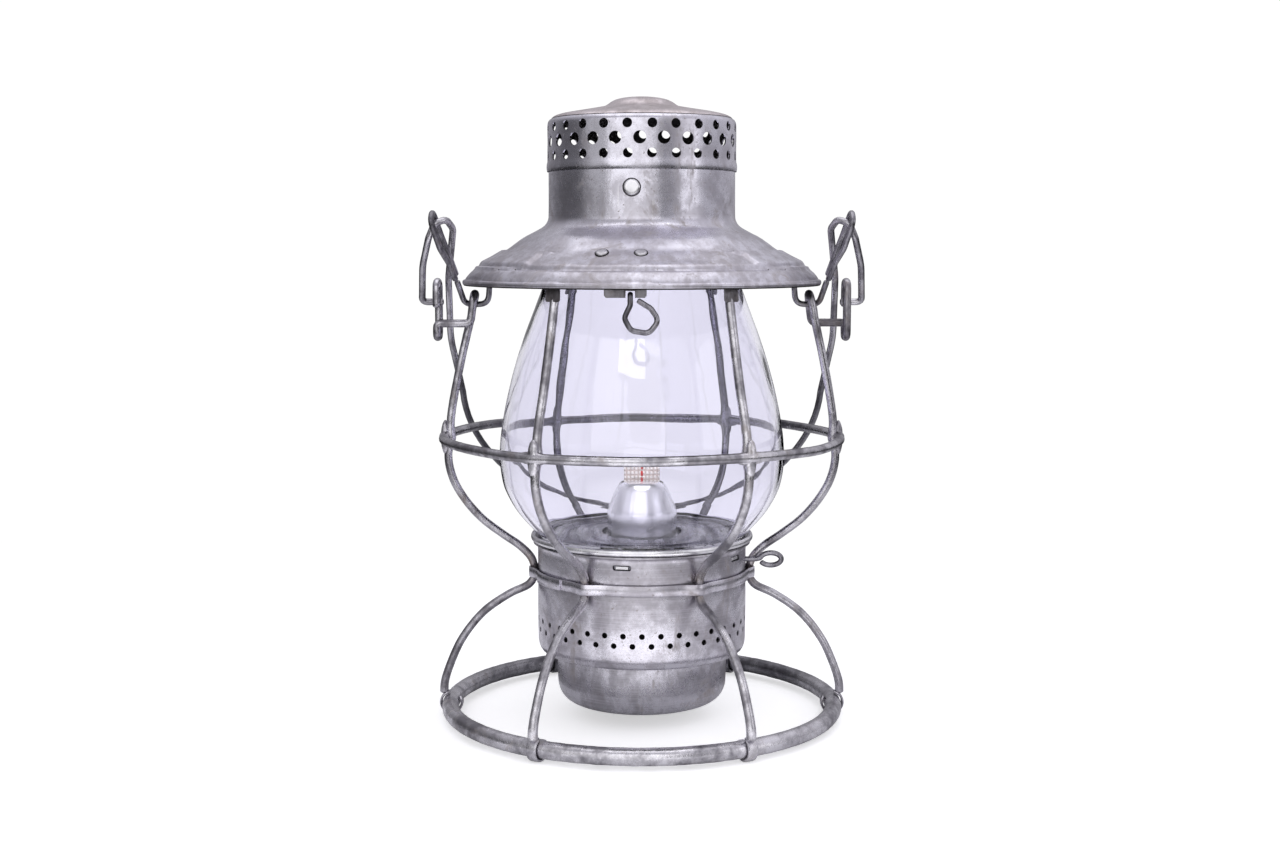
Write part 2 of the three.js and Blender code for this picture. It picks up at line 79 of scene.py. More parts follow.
def make(name, verts, faces, material, body, nodes=(), angle=38, slot=None):
    """A mesh piece from millimetre vertices; rides a body and replaces CAD nodes."""
    mesh = bpy.data.meshes.new(name)
    mesh.from_pydata([tuple(float(c) * MM for c in v) for v in verts], [], faces)
    mesh.validate()
    mesh.update()
    obj = bpy.data.objects.new(name, mesh)
    bpy.context.scene.collection.objects.link(obj)
    finish_mesh(obj, angle)
    obj.data.materials.append(material)
    if body:
        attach(obj, body)
    if nodes:
        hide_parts(*nodes)
    return obj


def redraw(node, verts, faces, material, body, **options):
    """The visual piece that stands for one CAD node."""
    return make(node + "_fine", verts, faces, material, body, [node], **options)


def finish_mesh(obj, angle):
    import bmesh

    bm = bmesh.new()
    bm.from_mesh(obj.data)
    bmesh.ops.recalc_face_normals(bm, faces=bm.faces)
    bm.to_mesh(obj.data)
    bm.free()
    obj.data.shade_smooth()
    obj.data.set_sharp_from_angle(angle=angle * DEG)


# ---------------------------------------------------------------- curves
def polar(azimuth, radius, z, shift=0.0):
    s, c = math.sin(azimuth * DEG), math.cos(azimuth * DEG)
    return np.array([radius * s + shift * c, -radius * c + shift * s, z])


def catmull(points, per=10):
    """A centripetal curve through the points."""
    p = [np.asarray(q, float) for q in points]
    p = [2 * p[0] - p[1]] + p + [2 * p[-1] - p[-2]]
    out = []
    for i in range(1, len(p) - 2):
        t = [0.0]
        for k in range(3):
            t.append(t[-1] + max(np.linalg.norm(p[i + k] - p[i + k - 1]) ** 0.5, 1e-4))
        for j in range(per):
            u = t[1] + (t[2] - t[1]) * j / per
            a = [
                ((t[k + 1] - u) * p[i - 1 + k] + (u - t[k]) * p[i + k]) / (t[k + 1] - t[k])
                for k in range(3)
            ]
            b = [((t[k + 2] - u) * a[k] + (u - t[k]) * a[k + 1]) / (t[k + 2] - t[k]) for k in range(2)]
            out.append(((t[2] - u) * b[0] + (u - t[1]) * b[1]) / (t[2] - t[1]))
    out.append(p[-2])
    return out


def rounded(stations, per=10):
    """Corners of [point, radius] rounded with short curves."""
    out = [np.asarray(stations[0][0], float)]
    for i in range(1, len(stations) - 1):
        corner, radius = np.asarray(stations[i][0], float), stations[i][1]
        back = np.asarray(stations[i - 1][0], float) - corner
        ahead = np.asarray(stations[i + 1][0], float) - corner
        lb, la = np.linalg.norm(back), np.linalg.norm(ahead)
        turn = math.pi - math.acos(np.clip(back @ ahead / lb / la, -1, 1))
        reach = min(radius * math.tan(turn / 2), lb * 0.48, la * 0.48)
        a, b = corner + back / lb * reach, corner + ahead / la * reach
        for k in range(per + 1):
            t = k / per
            out.append((1 - t) ** 2 * a + 2 * t * (1 - t) * corner + t * t * b)
    out.append(np.asarray(stations[-1][0], float))
    return out


def resample(points, step, closed=False):
    p = np.array(points, float)
    if closed:
        p = np.vstack([p, p[:1]])
    d = np.r_[0, np.cumsum(np.linalg.norm(np.diff(p, axis=0), axis=1))]
    keep = np.r_[True, np.diff(d) > 1e-6]
    p, d = p[keep], d[keep]
    n = max(4, int(round(d[-1] / step)))
    s = np.linspace(0, d[-1], n + 1)
    q = np.stack([np.interp(s, d, p[:, k]) for k in range(3)], 1)
    return q[:-1] if closed else q


def grain(p, scale, seed=0.0):
    return noise.noise(Vector((p[0] * scale + seed, p[1] * scale - seed, p[2] * scale + 0.7 * seed)))


def skin(rings, sides, closed=False):
    """Faces between rings of points that follow each other; open ends are capped."""
    faces = []
    for i in range(rings if closed else rings - 1):
        j = (i + 1) % rings
        for k in range(sides):
            m = (k + 1) % sides
            faces.append((i * sides + k, i * sides + m, j * sides + m, j * sides + k))
    if not closed:
        faces.append(tuple(range(sides)))
        faces.append(tuple((rings - 1) * sides + k for k in reversed(range(sides))))
    return faces


def tube(path, radius, sides=14, closed=False, rough=0.02, seed=0.0):
    """Vertices and faces of a wire; radius is a number or a function of (point, share)."""
    n = len(path)
    tangents = np.roll(path, -1, 0) - np.roll(path, 1, 0)
    if not closed:
        tangents[0], tangents[-1] = path[1] - path[0], path[-1] - path[-2]
    tangents /= np.linalg.norm(tangents, axis=1)[:, None]
    normal = np.cross(tangents[0], [0, 0, 1.0])
    if np.linalg.norm(normal) < 0.1:
        normal = np.cross(tangents[0], [1.0, 0, 0])
    normal /= np.linalg.norm(normal)
    normals = []
    for i in range(n):
        normal = normal - tangents[i] * (normal @ tangents[i])
        normal /= np.linalg.norm(normal)
        normals.append(normal.copy())
    twist = 0.0
    if closed:
        last = normals[-1] - tangents[0] * (normals[-1] @ tangents[0])
        last /= np.linalg.norm(last)
        first = normals[0]
        twist = math.atan2(np.cross(last, first) @ tangents[0], last @ first)
    verts = []

    def ring(centre, t, nrm, r, a0):
        b = np.cross(t, nrm)
        for k in range(sides):
            a = a0 + 2 * math.pi * k / sides
            d = nrm * math.cos(a) + b * math.sin(a)
            q = centre + d * r
            verts.append(q + d * r * rough * grain(q, 0.35, seed))

    rings = 0
    for i in range(n):
        share = i / max(n - 1, 1)
        r = radius(path[i], share) if callable(radius) else radius
        if not closed and i == 0:
            for f, back in ((0.55, 1.0), (0.87, 0.6)):
                ring(path[0] + tangents[0] * r * (1 - back) * 0.45, tangents[0], normals[0], r * f, 0)
                rings += 1
            ring(path[0] + tangents[0] * r * 0.45, tangents[0], normals[0], r, 0)
            rings += 1
            continue
        if not closed and i == n - 1:
            ring(path[i] - tangents[i] * r * 0.45, tangents[i], normals[i], r, 0)
            for f, back in ((0.87, 0.4), (0.55, 0.0)):
                ring(path[i] - tangents[i] * r * back * 0.45, tangents[i], normals[i], r * f, 0)
            rings += 3
            continue
        ring(path[i], tangents[i], normals[i], r, twist * i / n)
        rings += 1
    return verts, skin(rings, sides, closed)


def soften(line, times=2):
    """Cuts the corners of an open (radius, z) line; its ends stay."""
    p = [np.array(q, float) for q in line]
    for _ in range(times):
        out = [p[0]]
        for a, b in zip(p[:-1], p[1:]):
            out += [0.75 * a + 0.25 * b, 0.25 * a + 0.75 * b]
        p = out + [p[-1]]
    return p


def smooth_step(x, a, b):
    t = min(1.0, max(0.0, (x - a) / (b - a)))
    return t * t * (3 - 2 * t)


def dense(line, step):
    p = np.array(line, float)
    d = np.r_[0, np.cumsum(np.linalg.norm(np.diff(p, axis=0), axis=1))]
    s = np.linspace(0, d[-1], max(3, int(d[-1] / step)))
    return [np.array([np.interp(t, d, p[:, 0]), np.interp(t, d, p[:, 1])]) for t in s]


def shell(line, thick):
    """A closed sheet profile: the outer line and the line pushed in by its thickness."""
    p = np.array(line, float)
    t = np.gradient(p, axis=0)
    t /= np.linalg.norm(t, axis=1)[:, None]
    inner = p + np.stack([t[:, 1], -t[:, 0]], 1) * thick
    if p[0][0] < 1e-6:
        inner[0] = [0, p[0][1] - thick]
    return [*p, *inner[::-1]], p[0][0] < 1e-6


def lathe(profile, open_axis, segments=192, bump=None):
    """Turns a profile about Z. open_axis: it starts and ends on the axis."""
    verts, faces = [], []
    rows = []
    for r, z in profile:
        if r < 1e-6:
            rows.append([len(verts)])
            verts.append(np.array([0, 0, z]))
            continue
        row = []
        for k in range(segments):
            az = 360 * k / segments
            q = polar(az, r, z)
            if bump:
                dr, dz = bump(az, r, z)
                q = polar(az, r + dr, z + dz)
            row.append(len(verts))
            verts.append(q)
        rows.append(row)
    pairs = list(zip(rows[:-1], rows[1:]))
    if not open_axis:
        pairs.append((rows[-1], rows[0]))
    for a, b in pairs:
        for k in range(segments):
            m = (k + 1) % segments
            if len(a) == 1 and len(b) == 1:
                break
            if len(a) == 1:
                faces.append((a[0], b[m], b[k]))
            elif len(b) == 1:
                faces.append((a[k], a[m], b[0]))
            else:
                faces.append((a[k], a[m], b[m], b[k]))
    return verts, faces


def turned(line, cuts, step, thick, segments, bump=None):
    """A sheet piece: its line smoothed, filled in, given a thickness and turned about Z."""
    profile, on_axis = shell(dense(soften(line, cuts), step), thick)
    return lathe(profile, on_axis, segments, bump)


def plate(outline, depth, place):
    """A flat outline with a thickness and a small chamfer; place maps (a, b, c) to a point."""
    pts = [np.array(p, float) for p in outline]
    centre = sum(pts) / len(pts)
    rim = min(0.18, depth * 0.3)
    layers = []
    for c, shrink in ((0, rim), (rim, 0), (depth - rim, 0), (depth, rim)):
        layer = []
        for i, p in enumerate(pts):
            a, b = pts[i - 1], pts[(i + 1) % len(pts)]
            e1, e2 = p - a, b - p
            e1, e2 = e1 / np.linalg.norm(e1), e2 / np.linalg.norm(e2)
            n = np.array([-(e1[1] + e2[1]), e1[0] + e2[0]])
            n /= max(np.linalg.norm(n), 1e-6)
            layer.append(place(*(p + n * shrink), c))
        layers.append(layer)
    verts = [v for layer in layers for v in layer]
    n = len(pts)
    faces = [tuple(range(n)), tuple(3 * n + k for k in reversed(range(n)))]
    for i in range(3):
        for k in range(n):
            m = (k + 1) % n
            faces.append((i * n + k, i * n + m, (i + 1) * n + m, (i + 1) * n + k))
    return verts, faces


def merge(*parts):
    verts, faces = [], []
    for v, f in parts:
        base = len(verts)
        verts += list(v)
        faces += [tuple(i + base for i in face) for face in f]
    return verts, faces


def drill(radius, azimuth, wall, z, sides=28, reach=5.0):
    verts, faces = [], []
    for depth in (-reach, reach):
        for k in range(sides):
            a = 2 * math.pi * k / sides
            verts.append(polar(azimuth, wall + depth, z + radius * math.sin(a), radius * math.cos(a)))
    faces.append(tuple(range(sides)))
    faces.append(tuple(sides + k for k in reversed(range(sides))))
    for k in range(sides):
        m = (k + 1) % sides
        faces.append((k, k + sides, m + sides, m))
    return verts, faces


def carve(obj, tool_parts, angle=38):
    """Cuts closed tools out of a piece, and keeps the result in its mesh."""
    tool = make("tool", *merge(*tool_parts), bpy.data.materials.new("tool"), None)
    mod = obj.modifiers.new("cut", "BOOLEAN")
    mod.object, mod.solver, mod.operation = tool, "MANIFOLD", "DIFFERENCE"
    graph = bpy.context.evaluated_depsgraph_get()
    mesh = bpy.data.meshes.new_from_object(obj.evaluated_get(graph), depsgraph=graph)
    obj.modifiers.clear()
    material = obj.data.materials[0]
    obj.data = mesh
    mesh.materials.clear()
    mesh.materials.append(material)
    mesh.polygons.foreach_set("material_index", [0] * len(mesh.polygons))
    bpy.data.objects.remove(tool)
    mesh.shade_smooth()
    mesh.set_sharp_from_angle(angle=angle * DEG)


# ---------------------------------------------------------------- materials
class Net:
    """Short names for building a node material."""

    def __init__(self, name):
        self.m = bpy.data.materials.new(name)
        self.m.use_nodes = True
        self.t = self.m.node_tree
        self.shader = self.t.nodes["Principled BSDF"]

    def node(self, kind, **values):
        n = self.t.nodes.new(kind)
        for key, value in values.items():
            if key in n.inputs:
                n.inputs[key].default_value = value
            else:
                setattr(n, key, value)
        return n

    def link(self, a, b):
        self.t.links.new(a, b)

    def coords(self, scale=(1, 1, 1)):
        c = self.node("ShaderNodeTexCoord")
        m = self.node("ShaderNodeMapping")
        m.inputs["Scale"].default_value = scale
        self.link(c.outputs["Object"], m.inputs["Vector"])
        return m.outputs["Vector"]

    def noise(self, scale, detail=5.0, rough=0.6, stretch=(1, 1, 1), distortion=0.0):
        n = self.node(
            "ShaderNodeTexNoise", Scale=scale, Detail=detail, Roughness=rough, Distortion=distortion
        )
        self.link(self.coords(stretch), n.inputs["Vector"])
        return n.outputs["Fac"]

    def ramp(self, source, a, b, low=0.0, high=1.0):
        n = self.node("ShaderNodeMapRange", interpolation_type="SMOOTHSTEP")
        for key, value in (("From Min", a), ("From Max", b), ("To Min", low), ("To Max", high)):
            n.inputs[key].default_value = value
        self.link(source, n.inputs["Value"])
        return n.outputs["Result"]

    def math(self, op, a, b):
        n = self.node("ShaderNodeMath", operation=op)
        for socket, value in zip(n.inputs, (a, b)):
            if isinstance(value, (int, float)):
                socket.default_value = value
            else:
                self.link(value, socket)
        return n.outputs[0]

    def feed(self, name, value):
        """Links a result to the shader's socket, or sets it there when it is the same all over."""
        socket = self.shader.inputs[name]
        if isinstance(value, (int, float, tuple)):
            socket.default_value = value
        else:
            self.link(value, socket)

    def where(self):
        """The X, Y and Z of the point, as outputs."""
        n = self.node("ShaderNodeSeparateXYZ")
        self.link(self.coords(), n.inputs[0])
        return n.outputs

    def times(self, a, b):
        return self.math("MULTIPLY", a, b)

    def mix(self, share, a, b):
        n = self.node("ShaderNodeMix", data_type="RGBA")
        self.link(share, n.inputs["Factor"])
        for socket, value in ((n.inputs[6], a), (n.inputs[7], b)):
            if isinstance(value, tuple):
                socket.default_value = (*value, 1)
            else:
                self.link(value, socket)
        return n.outputs[2]

    def bump(self, height, strength, distance, before=None):
        n = self.node("ShaderNodeBump", Strength=strength, Distance=distance)
        self.link(height, n.inputs["Height"])
        if before:
            self.link(before, n.inputs["Normal"])
        return n.outputs["Normal"]


def metal(
    name, light, dark, rust=0.5, rough=(0.24, 0.5), brushed=0.0, pits=1.0, metallic=0.97, shift=0.0,
    scratch=0.3, back_shade_and_band_dark=0.0, dull_below=0.0
):
    """Old tinned steel: mottled grey, brown stains, fine pits, drawn lines and scratches."""
    net = Net(name)
    move = (1 + shift, 1 - shift * 0.3, 1)
    clouds = net.noise(38, 6, 0.62, move, 0.5)
    blots = net.noise(150, 5, 0.65, move)
    fine = net.noise(1100, 4, 0.7, move)
    lines = net.noise(4, 5, 0.65, (3, 3, 700))
    share = net.math("ADD", net.times(clouds, 0.6), net.times(blots, 0.4))
    tone = net.mix(net.ramp(share, 0.38, 0.60), dark, light)
    tone = net.mix(net.ramp(fine, 0.58, 0.74, 0, 0.22), tone, tuple(c * 0.6 for c in dark))
    tone = net.mix(
        net.ramp(lines, 0.46, 0.62, 0, brushed), tone, tuple(min(1, c * 1.12) for c in light)
    )
    scrape = net.noise(11, 3, 0.5, (60, 60, 2.2), 0.6)
    gate = net.noise(34, 2, 0.5, (1, 1, 1.4))
    scars = net.times(net.ramp(scrape, 0.665, 0.70), net.ramp(gate, 0.52, 0.60))
    tone = net.mix(net.times(scars, scratch), tone, (0.88, 0.87, 0.90))
    stain = net.noise(52, 9, 0.74, (1, 1, 0.6), 1.0)
    speck = net.noise(700, 3, 0.6)
    patch = net.ramp(stain, 0.62 - 0.10 * rust, 0.76 - 0.08 * rust)
    spots = net.ramp(speck, 0.67 - 0.05 * rust, 0.73)
    brown = net.times(patch, net.ramp(blots, 0.40, 0.58, 0.2, 0.9))
    brown = net.math("MAXIMUM", brown, net.times(spots, 0.7 * rust))
    tone = net.mix(net.times(brown, 0.66), tone, (0.20, 0.150, 0.115))
    # painted shade: with a share given, the far side of the piece (Y 10 to 45 mm), which lies behind
    # the globe, is darkened towards near black; a darker brown mottle is also laid at the clamp band's
    # height (Z 56 to 76 mm)
    if back_shade_and_band_dark:
        place = net.where()
        tone = net.mix(net.ramp(place["Y"], 0.010, 0.045, 0.0, back_shade_and_band_dark), tone, (0.05, 0.05, 0.06))
        clamped = net.times(
            net.ramp(place["Z"], 0.056, 0.063), net.ramp(place["Z"], 0.067, 0.076, 1.0, 0.0)
        )
        tone = net.mix(
            net.times(clamped, net.ramp(blots, 0.40, 0.62, 0.25, 0.85)), tone, (0.13, 0.09, 0.06)
        )
    gloss = net.ramp(share, 0.36, 0.62, rough[1], rough[0])
    if dull_below:
        place = net.where()
        dull = net.ramp(place["Z"], dull_below - 0.012, dull_below + 0.004, 1.0, 0.0)
        tone = net.mix(
            net.times(dull, net.ramp(blots, 0.36, 0.64, 0.55, 0.05)), tone, (0.36, 0.335, 0.36)
        )
        gloss = net.math("ADD", gloss, net.times(dull, 0.12))
    net.feed("Base Color", tone)
    gloss = net.math("ADD", gloss, net.times(brown, 0.28))
    gloss = net.math("ADD", gloss, net.ramp(fine, 0.4, 0.7, -0.02, 0.04))
    net.feed("Roughness", gloss)
    net.feed("Metallic", net.ramp(brown, 0.0, 1.0, metallic, metallic * 0.35))
    normal = net.bump(net.ramp(fine, 0.5, 0.8), 0.16 * pits, 0.0001)
    normal = net.bump(blots, 0.10 * pits, 0.0004, normal)
    normal = net.bump(clouds, 0.08, 0.002, normal)
    normal = net.bump(lines, 0.12 * brushed, 0.0003, normal)
    net.feed("Normal", normal)
    return net.m


TIN = metal("tinplate_bell", (0.72, 0.70, 0.77), (0.40, 0.38, 0.42), 1.0, (0.22, 0.36), 0.22, 0.9)
LID = metal(
    "tinplate_lid", (0.70, 0.685, 0.765), (0.50, 0.48, 0.535), 1.1, (0.22, 0.33), 0.10, 0.45,
    shift=0.3, scratch=0.5, dull_below=0.212
)
CAP = metal(
    "tinplate_cap", (0.66, 0.60, 0.62), (0.42, 0.375, 0.385), 0.7, (0.34, 0.52), 0.0, 1.2, shift=0.6
)
POT = metal(
    "tinplate_fount", (0.58, 0.565, 0.62), (0.33, 0.315, 0.345), 0.9, (0.22, 0.36), 0.3, 0.9,
    shift=0.9
)
WIRE = metal(
    "cage_wire", (0.68, 0.665, 0.71), (0.22, 0.21, 0.235), 0.85, (0.20, 0.42), 0.0, 2.6, shift=0.2,
    back_shade_and_band_dark=0.62
)
EAR = metal(
    "side_wire", (0.56, 0.545, 0.59), (0.18, 0.17, 0.19), 1.0, (0.20, 0.40), 0.0, 2.4, shift=0.4,
    back_shade_and_band_dark=0.62
)
CLIP = metal(
    "sheet_clip", (0.24, 0.23, 0.25), (0.09, 0.08, 0.085), 1.0, (0.30, 0.48), 0.0, 1.6, shift=1.1
)
DARK = metal(
    "ear_wire", (0.34, 0.33, 0.365), (0.11, 0.105, 0.12), 0.9, (0.22, 0.42), 0.0, 1.6, shift=1.3
)
BRIGHT = metal(
    "polished_burner", (0.92, 0.92, 0.95), (0.80, 0.80, 0.84), 0.05, (0.17, 0.27), 0.15, 0.25, 0.72,
    shift=1.0
)
SEAT = metal(
    "ringed_plate", (0.25, 0.245, 0.28), (0.12, 0.115, 0.135), 0.5, (0.20, 0.36), 0.1, 0.8,
    shift=1.6
)
DULL = metal(
    "brim_rivet_heads", (0.66, 0.65, 0.68), (0.42, 0.41, 0.44), 0.4, (0.26, 0.40), 0.0, 1.4,
    shift=0.5
)
STUD = metal(
    "rivet_heads", (0.93, 0.92, 0.95), (0.74, 0.73, 0.77), 0.1, (0.26, 0.36), 0.0, 0.8, shift=0.7
)


def soot():
    net = Net("sooty_inside")
    clouds = net.noise(70, 5, 0.6)
    net.feed("Base Color", net.mix(clouds, (0.012, 0.011, 0.012), (0.055, 0.05, 0.052)))
    net.feed("Roughness", net.ramp(clouds, 0.3, 0.7, 0.75, 0.95))
    net.feed("Specular IOR Level", 0.2)
    net.feed("Normal", net.bump(clouds, 0.3, 0.0006))
    return net.m


SOOT = soot()


def sooty(obj, lean=0.25, below=None):
    """Gives the faces that look inwards, or down when below is given, the sooty finish."""
    obj.data.materials.append(SOOT)
    for face in obj.data.polygons:
        out = Vector((face.center.x, face.center.y, 0))
        n = face.normal
        inward = out.length > 1e-4 and n.dot(out.normalized()) < -lean
        if inward or (below is not None and n.z < -below):
            face.material_index = 1


def glass():
    net = Net("globe_glass")
    net.feed("Base Color", (0.885, 0.875, 0.958, 1))
    net.feed("Transmission Weight", 1.0)
    net.feed("IOR", 1.47)
    waves = net.noise(24, 2, 0.4, (1, 1, 0.6))
    film = net.noise(90, 4, 0.6)
    net.feed("Normal", net.bump(waves, 0.26, 0.004))
    net.feed("Roughness", net.ramp(film, 0.45, 0.75, 0.0, 0.05))
    return net.m


GLASS = glass()


def cotton():
    net = Net("woven_wick")
    across = net.node("ShaderNodeTexWave", Scale=190.0, Distortion=1.2)
    across.bands_direction = "X"
    along = net.node("ShaderNodeTexWave", Scale=160.0, Distortion=1.6)
    along.bands_direction = "Z"
    for w in (across, along):
        net.link(net.coords(), w.inputs["Vector"])
    weave = net.times(across.outputs["Fac"], along.outputs["Fac"])
    soil = net.noise(140, 5, 0.6)
    tone = net.mix(net.ramp(weave, 0.02, 0.45), (0.66, 0.56, 0.50), (0.97, 0.93, 0.86))
    tone = net.mix(net.ramp(soil, 0.55, 0.8, 0, 0.3), tone, (0.62, 0.50, 0.40))
    net.feed("Base Color", tone)
    net.feed("Roughness", net.ramp(soil, 0.3, 0.7, 0.85, 0.98))
    net.feed("Sheen Weight", 0.3)
    net.feed("Normal", net.bump(weave, 0.7, 0.0004))
    return net.m


COTTON = cotton()


def thread():
    net = Net("red_thread")
    fuzz = net.noise(1400, 3, 0.6)
    net.feed("Base Color", net.mix(fuzz, (0.55, 0.03, 0.03), (0.78, 0.10, 0.08)))
    net.feed("Roughness", net.ramp(fuzz, 0.3, 0.7, 0.8, 0.95))
    return net.m


THREAD = thread()

# ---------------------------------------------------------------- sizes from the frame
BASE_HIGH = high("base_ring")
BASE_TUBE = 3.7
BASE_Z = mid("base_ring")[2]
BASE_R = BASE_HIGH[1] - BASE_TUBE
GUARD_Z = mid("guard_ring")[2]
GUARD_R, GUARD_TUBE = high("guard_ring")[0] - 2.1, 2.1
TOP_Z = mid("top_ring")[2]
TOP_R = high("top_ring")[0] - 1.7
BELL_R = 45.4
AXIS_Z = next(j for j in frame["joints"] if j["name"] == "bail_hinge")["pos_m"][2] / MM
HINGE = [a / MM for a in next(j for j in frame["joints"] if j["name"] == "lid_hinge")["pos_m"]]
CROSS = 83.0

# ---------------------------------------------------------------- cage wires
UPPER_BOW = [
    (CROSS, GUARD_Z), (84.2, 114), (82.2, 104.5), (77.2, 95.5), (69.8, 87), (61, 80.2), (53, 74.6),
    (48.4, 69.6)
]
BAND_RUN = [(47.1, 65.6), (47.1, 61.6)]
LEG_BOW = [(49.3, 58), (58, 53.6), (69.5, 45.5), (79, 33.6), (84.6, 21.5), (86.9, 14), (87.2, 9.1)]


def lower_course(azimuth):
    return catmull([polar(azimuth, r, z) for r, z in UPPER_BOW + BAND_RUN + LEG_BOW], 12)


def upright(azimuth):
    top = [(68.0, 194.2), (68.8, 187), (77, 151), (82.4, 131), (CROSS, GUARD_Z)]
    return catmull([polar(azimuth, r, z) for r, z in top], 12)[:-1] + lower_course(azimuth)


EYE_X, EYE_HALF, EYE_LOW, EYE_HIGH = 88.0, 4.1, 166.2, 189.9
HOOK_X, HOOK_TOP, BAR_Z = 73.6, 184.8, 172.2


def side_course(azimuth):
    h = EYE_HALF
    at = lambda r, z, shift=0.0: polar(azimuth, r, z, shift)
    rise = catmull([at(CROSS, GUARD_Z), at(82.9, 131), at(78.6, 155, -2.2), at(74, 175, -h)], 12)
    ear = rounded(
        [
            (at(HOOK_X, 178, -h), 0),
            (at(HOOK_X - 1.6, HOOK_TOP, -h), h),
            (at(HOOK_X - 1.6, HOOK_TOP, h), h),
            (at(HOOK_X, BAR_Z, h), 2.6),
            (at(EYE_X, BAR_Z, h), 1.8),
            (at(EYE_X, EYE_LOW, h), h),
            (at(EYE_X, EYE_LOW, -h), h),
            (at(EYE_X, EYE_HIGH, -h), h),
            (at(EYE_X, EYE_HIGH, h), h),
            (at(EYE_X, 179.0, h), 0),
        ]
    )
    return lower_course(azimuth)[::-1] + rise[1:] + ear


def swell(base, share=0.32, reach=3.6):
    """Wire radius: swollen by solder at the guard ring, and pressed thin under the clamp band."""

    def radius(p, _):
        wide = math.hypot(p[0], p[1])
        near = math.exp(-(((p[2] - GUARD_Z) / reach) ** 2)) if wide > 79 else 0
        pressed = math.exp(-(((p[2] - 63.6) / 2.9) ** 4)) if wide < 52 else 0
        return base * (1 + share * near - 0.24 * pressed + 0.03 * grain(p, 0.09))

    return radius


def strap(azimuth):
    """The leg's flattened end, folded round the base ring."""
    steps, corners = 44, 12
    verts = []
    for i in range(steps + 1):
        a = (80 - 294 * i / steps) * DEG
        end = min(i, steps - i) / 3
        width = 2.3 * (1 if end >= 1 else 0.72 + 0.28 * end)
        for k in range(corners):
            b = 2 * math.pi * k / corners
            u = math.copysign(abs(math.cos(b)) ** 0.45, math.cos(b)) * width
            v = math.copysign(abs(math.sin(b)) ** 0.6, math.sin(b)) * 0.56
            r = BASE_TUBE + 0.3 + 0.6 + v
            z = max(BASE_Z + r * math.sin(a), CAD_BOX[0][2] / MM + 0.01)
            verts.append(polar(azimuth, BASE_R + r * math.cos(a), z, u))
    return verts, skin(steps + 1, corners)


def leg_radius(base):
    inner = swell(base)

    def radius(p, share):
        squash = max(0.0, 1 - abs(p[2] - 9.0) / 9) if math.hypot(p[0], p[1]) > 80 else 0
        return inner(p, share) * (1 + 0.10 * squash)

    return radius


CAGE = {"front_left": -30, "front_right": 30, "back_left": -150, "back_right": 150}
for hand, azimuth in CAGE.items():
    run = resample(upright(azimuth), 1.0)
    body = tube(run, leg_radius(1.9), 16, seed=azimuth)
    redraw("cage_wire_" + hand, *merge(body, strap(azimuth)), WIRE, "frame", slot="wire")
for hand, azimuth in (("left", -90), ("right", 90)):
    run = resample(side_course(azimuth), 0.8)
    body = tube(run, leg_radius(1.75), 16, seed=azimuth)
    name = "side_wire_" + hand
    redraw(name, *merge(body, strap(azimuth)), EAR, "frame", slot="wire")


def ring(radius, z, tube_radius, swells=(), amount=0.0, reach=3.2, wobble=0.0, sides=18, step=1.6):
    n = int(2 * math.pi * radius / step)
    path = []
    for k in range(n):
        az = 360 * k / n
        w = wobble * noise.noise(Vector((math.cos(az * DEG) * 1.7, math.sin(az * DEG) * 1.7, 3.0)))
        path.append(polar(az, radius + w * 0.5, z + w))

    def thick(p, _):
        az = math.atan2(p[0], -p[1]) / DEG
        near = 0.0
        for s in swells:
            d = abs((az - s + 180) % 360 - 180) * DEG * radius
            near = max(near, math.exp(-((d / reach) ** 2)))
        return tube_radius * (1 + amount * near)

    return tube(np.array(path), thick, sides, closed=True, rough=0.03)


WIRES = (-150, -90, -30, 30, 90, 150)
redraw(
    "base_ring",
    *ring(BASE_R, BASE_Z, BASE_TUBE - 0.06, wobble=0.25, sides=24),
    WIRE,
    "frame",
    slot="wire",
)
redraw(
    "guard_ring",
    *ring(GUARD_R - 0.15, GUARD_Z, GUARD_TUBE - 0.1, WIRES, 0.22, wobble=0.9),
    WIRE,
    "frame",
    slot="wire",
)
redraw("top_ring", *ring(TOP_R, TOP_Z, 1.65), DARK, "frame", slot="wire")



def solder_star(azimuth, seed):
    """A flat four-pointed blob of solder that joins a wire to the guard ring."""
    n, layers = 56, 9
    rows = []
    verts, faces = [], []
    for j in range(layers):
        t = math.pi * j / (layers - 1)
        row = []
        for k in range(n):
            a = 2 * math.pi * k / n
            reach = (3.3 + 3.3 * abs(math.cos(2 * a)) ** 2.0) * (
                1 + 0.10 * grain((math.cos(a), math.sin(a), seed), 1.1)
            )
            flat = math.sin(t) ** 0.55
            x, y = reach * flat * math.cos(a), reach * flat * 1.15 * math.sin(a)
            depth = 2.05 * math.cos(t) * (1 - 0.25 * flat * (reach - 3.3) / 3.3)
            q = polar(azimuth, 85.3 + depth - 0.05 * x * x / 8, GUARD_Z - 0.2 + y, x)
            row.append(len(verts))
            verts.append(q + 0.10 * grain(q, 0.7, seed))
        rows.append(row)
    for a, b in zip(rows[:-1], rows[1:]):
        faces += [(a[k], a[(k + 1) % n], b[(k + 1) % n], b[k]) for k in range(n)]
    return verts, faces


make("guard_solder", *merge(*[solder_star(a, a * 0.1) for a in WIRES]), WIRE, "frame", slot="wire")

# dark sheet clips that pinch the wire tops to the top ring
for hand, azimuth in CAGE.items():
    outline = [(-2.9, -2.6), (2.9, -2.6), (3.4, -1.8), (3.0, 5.4), (-3.0, 5.4), (-3.4, -1.8)]
    tilt = lambda a, b, c, az=azimuth: polar(az, 71.0 - c - b * 0.12, 186.0 + b, a)
    make("wire_clip_" + hand, *plate(outline, 0.7, tilt), CLIP, "frame", slot="wire")

# ---------------------------------------------------------------- clamp band
BAND_LOW, BAND_HIGH = low("clamp_band")[2], high("clamp_band")[2]


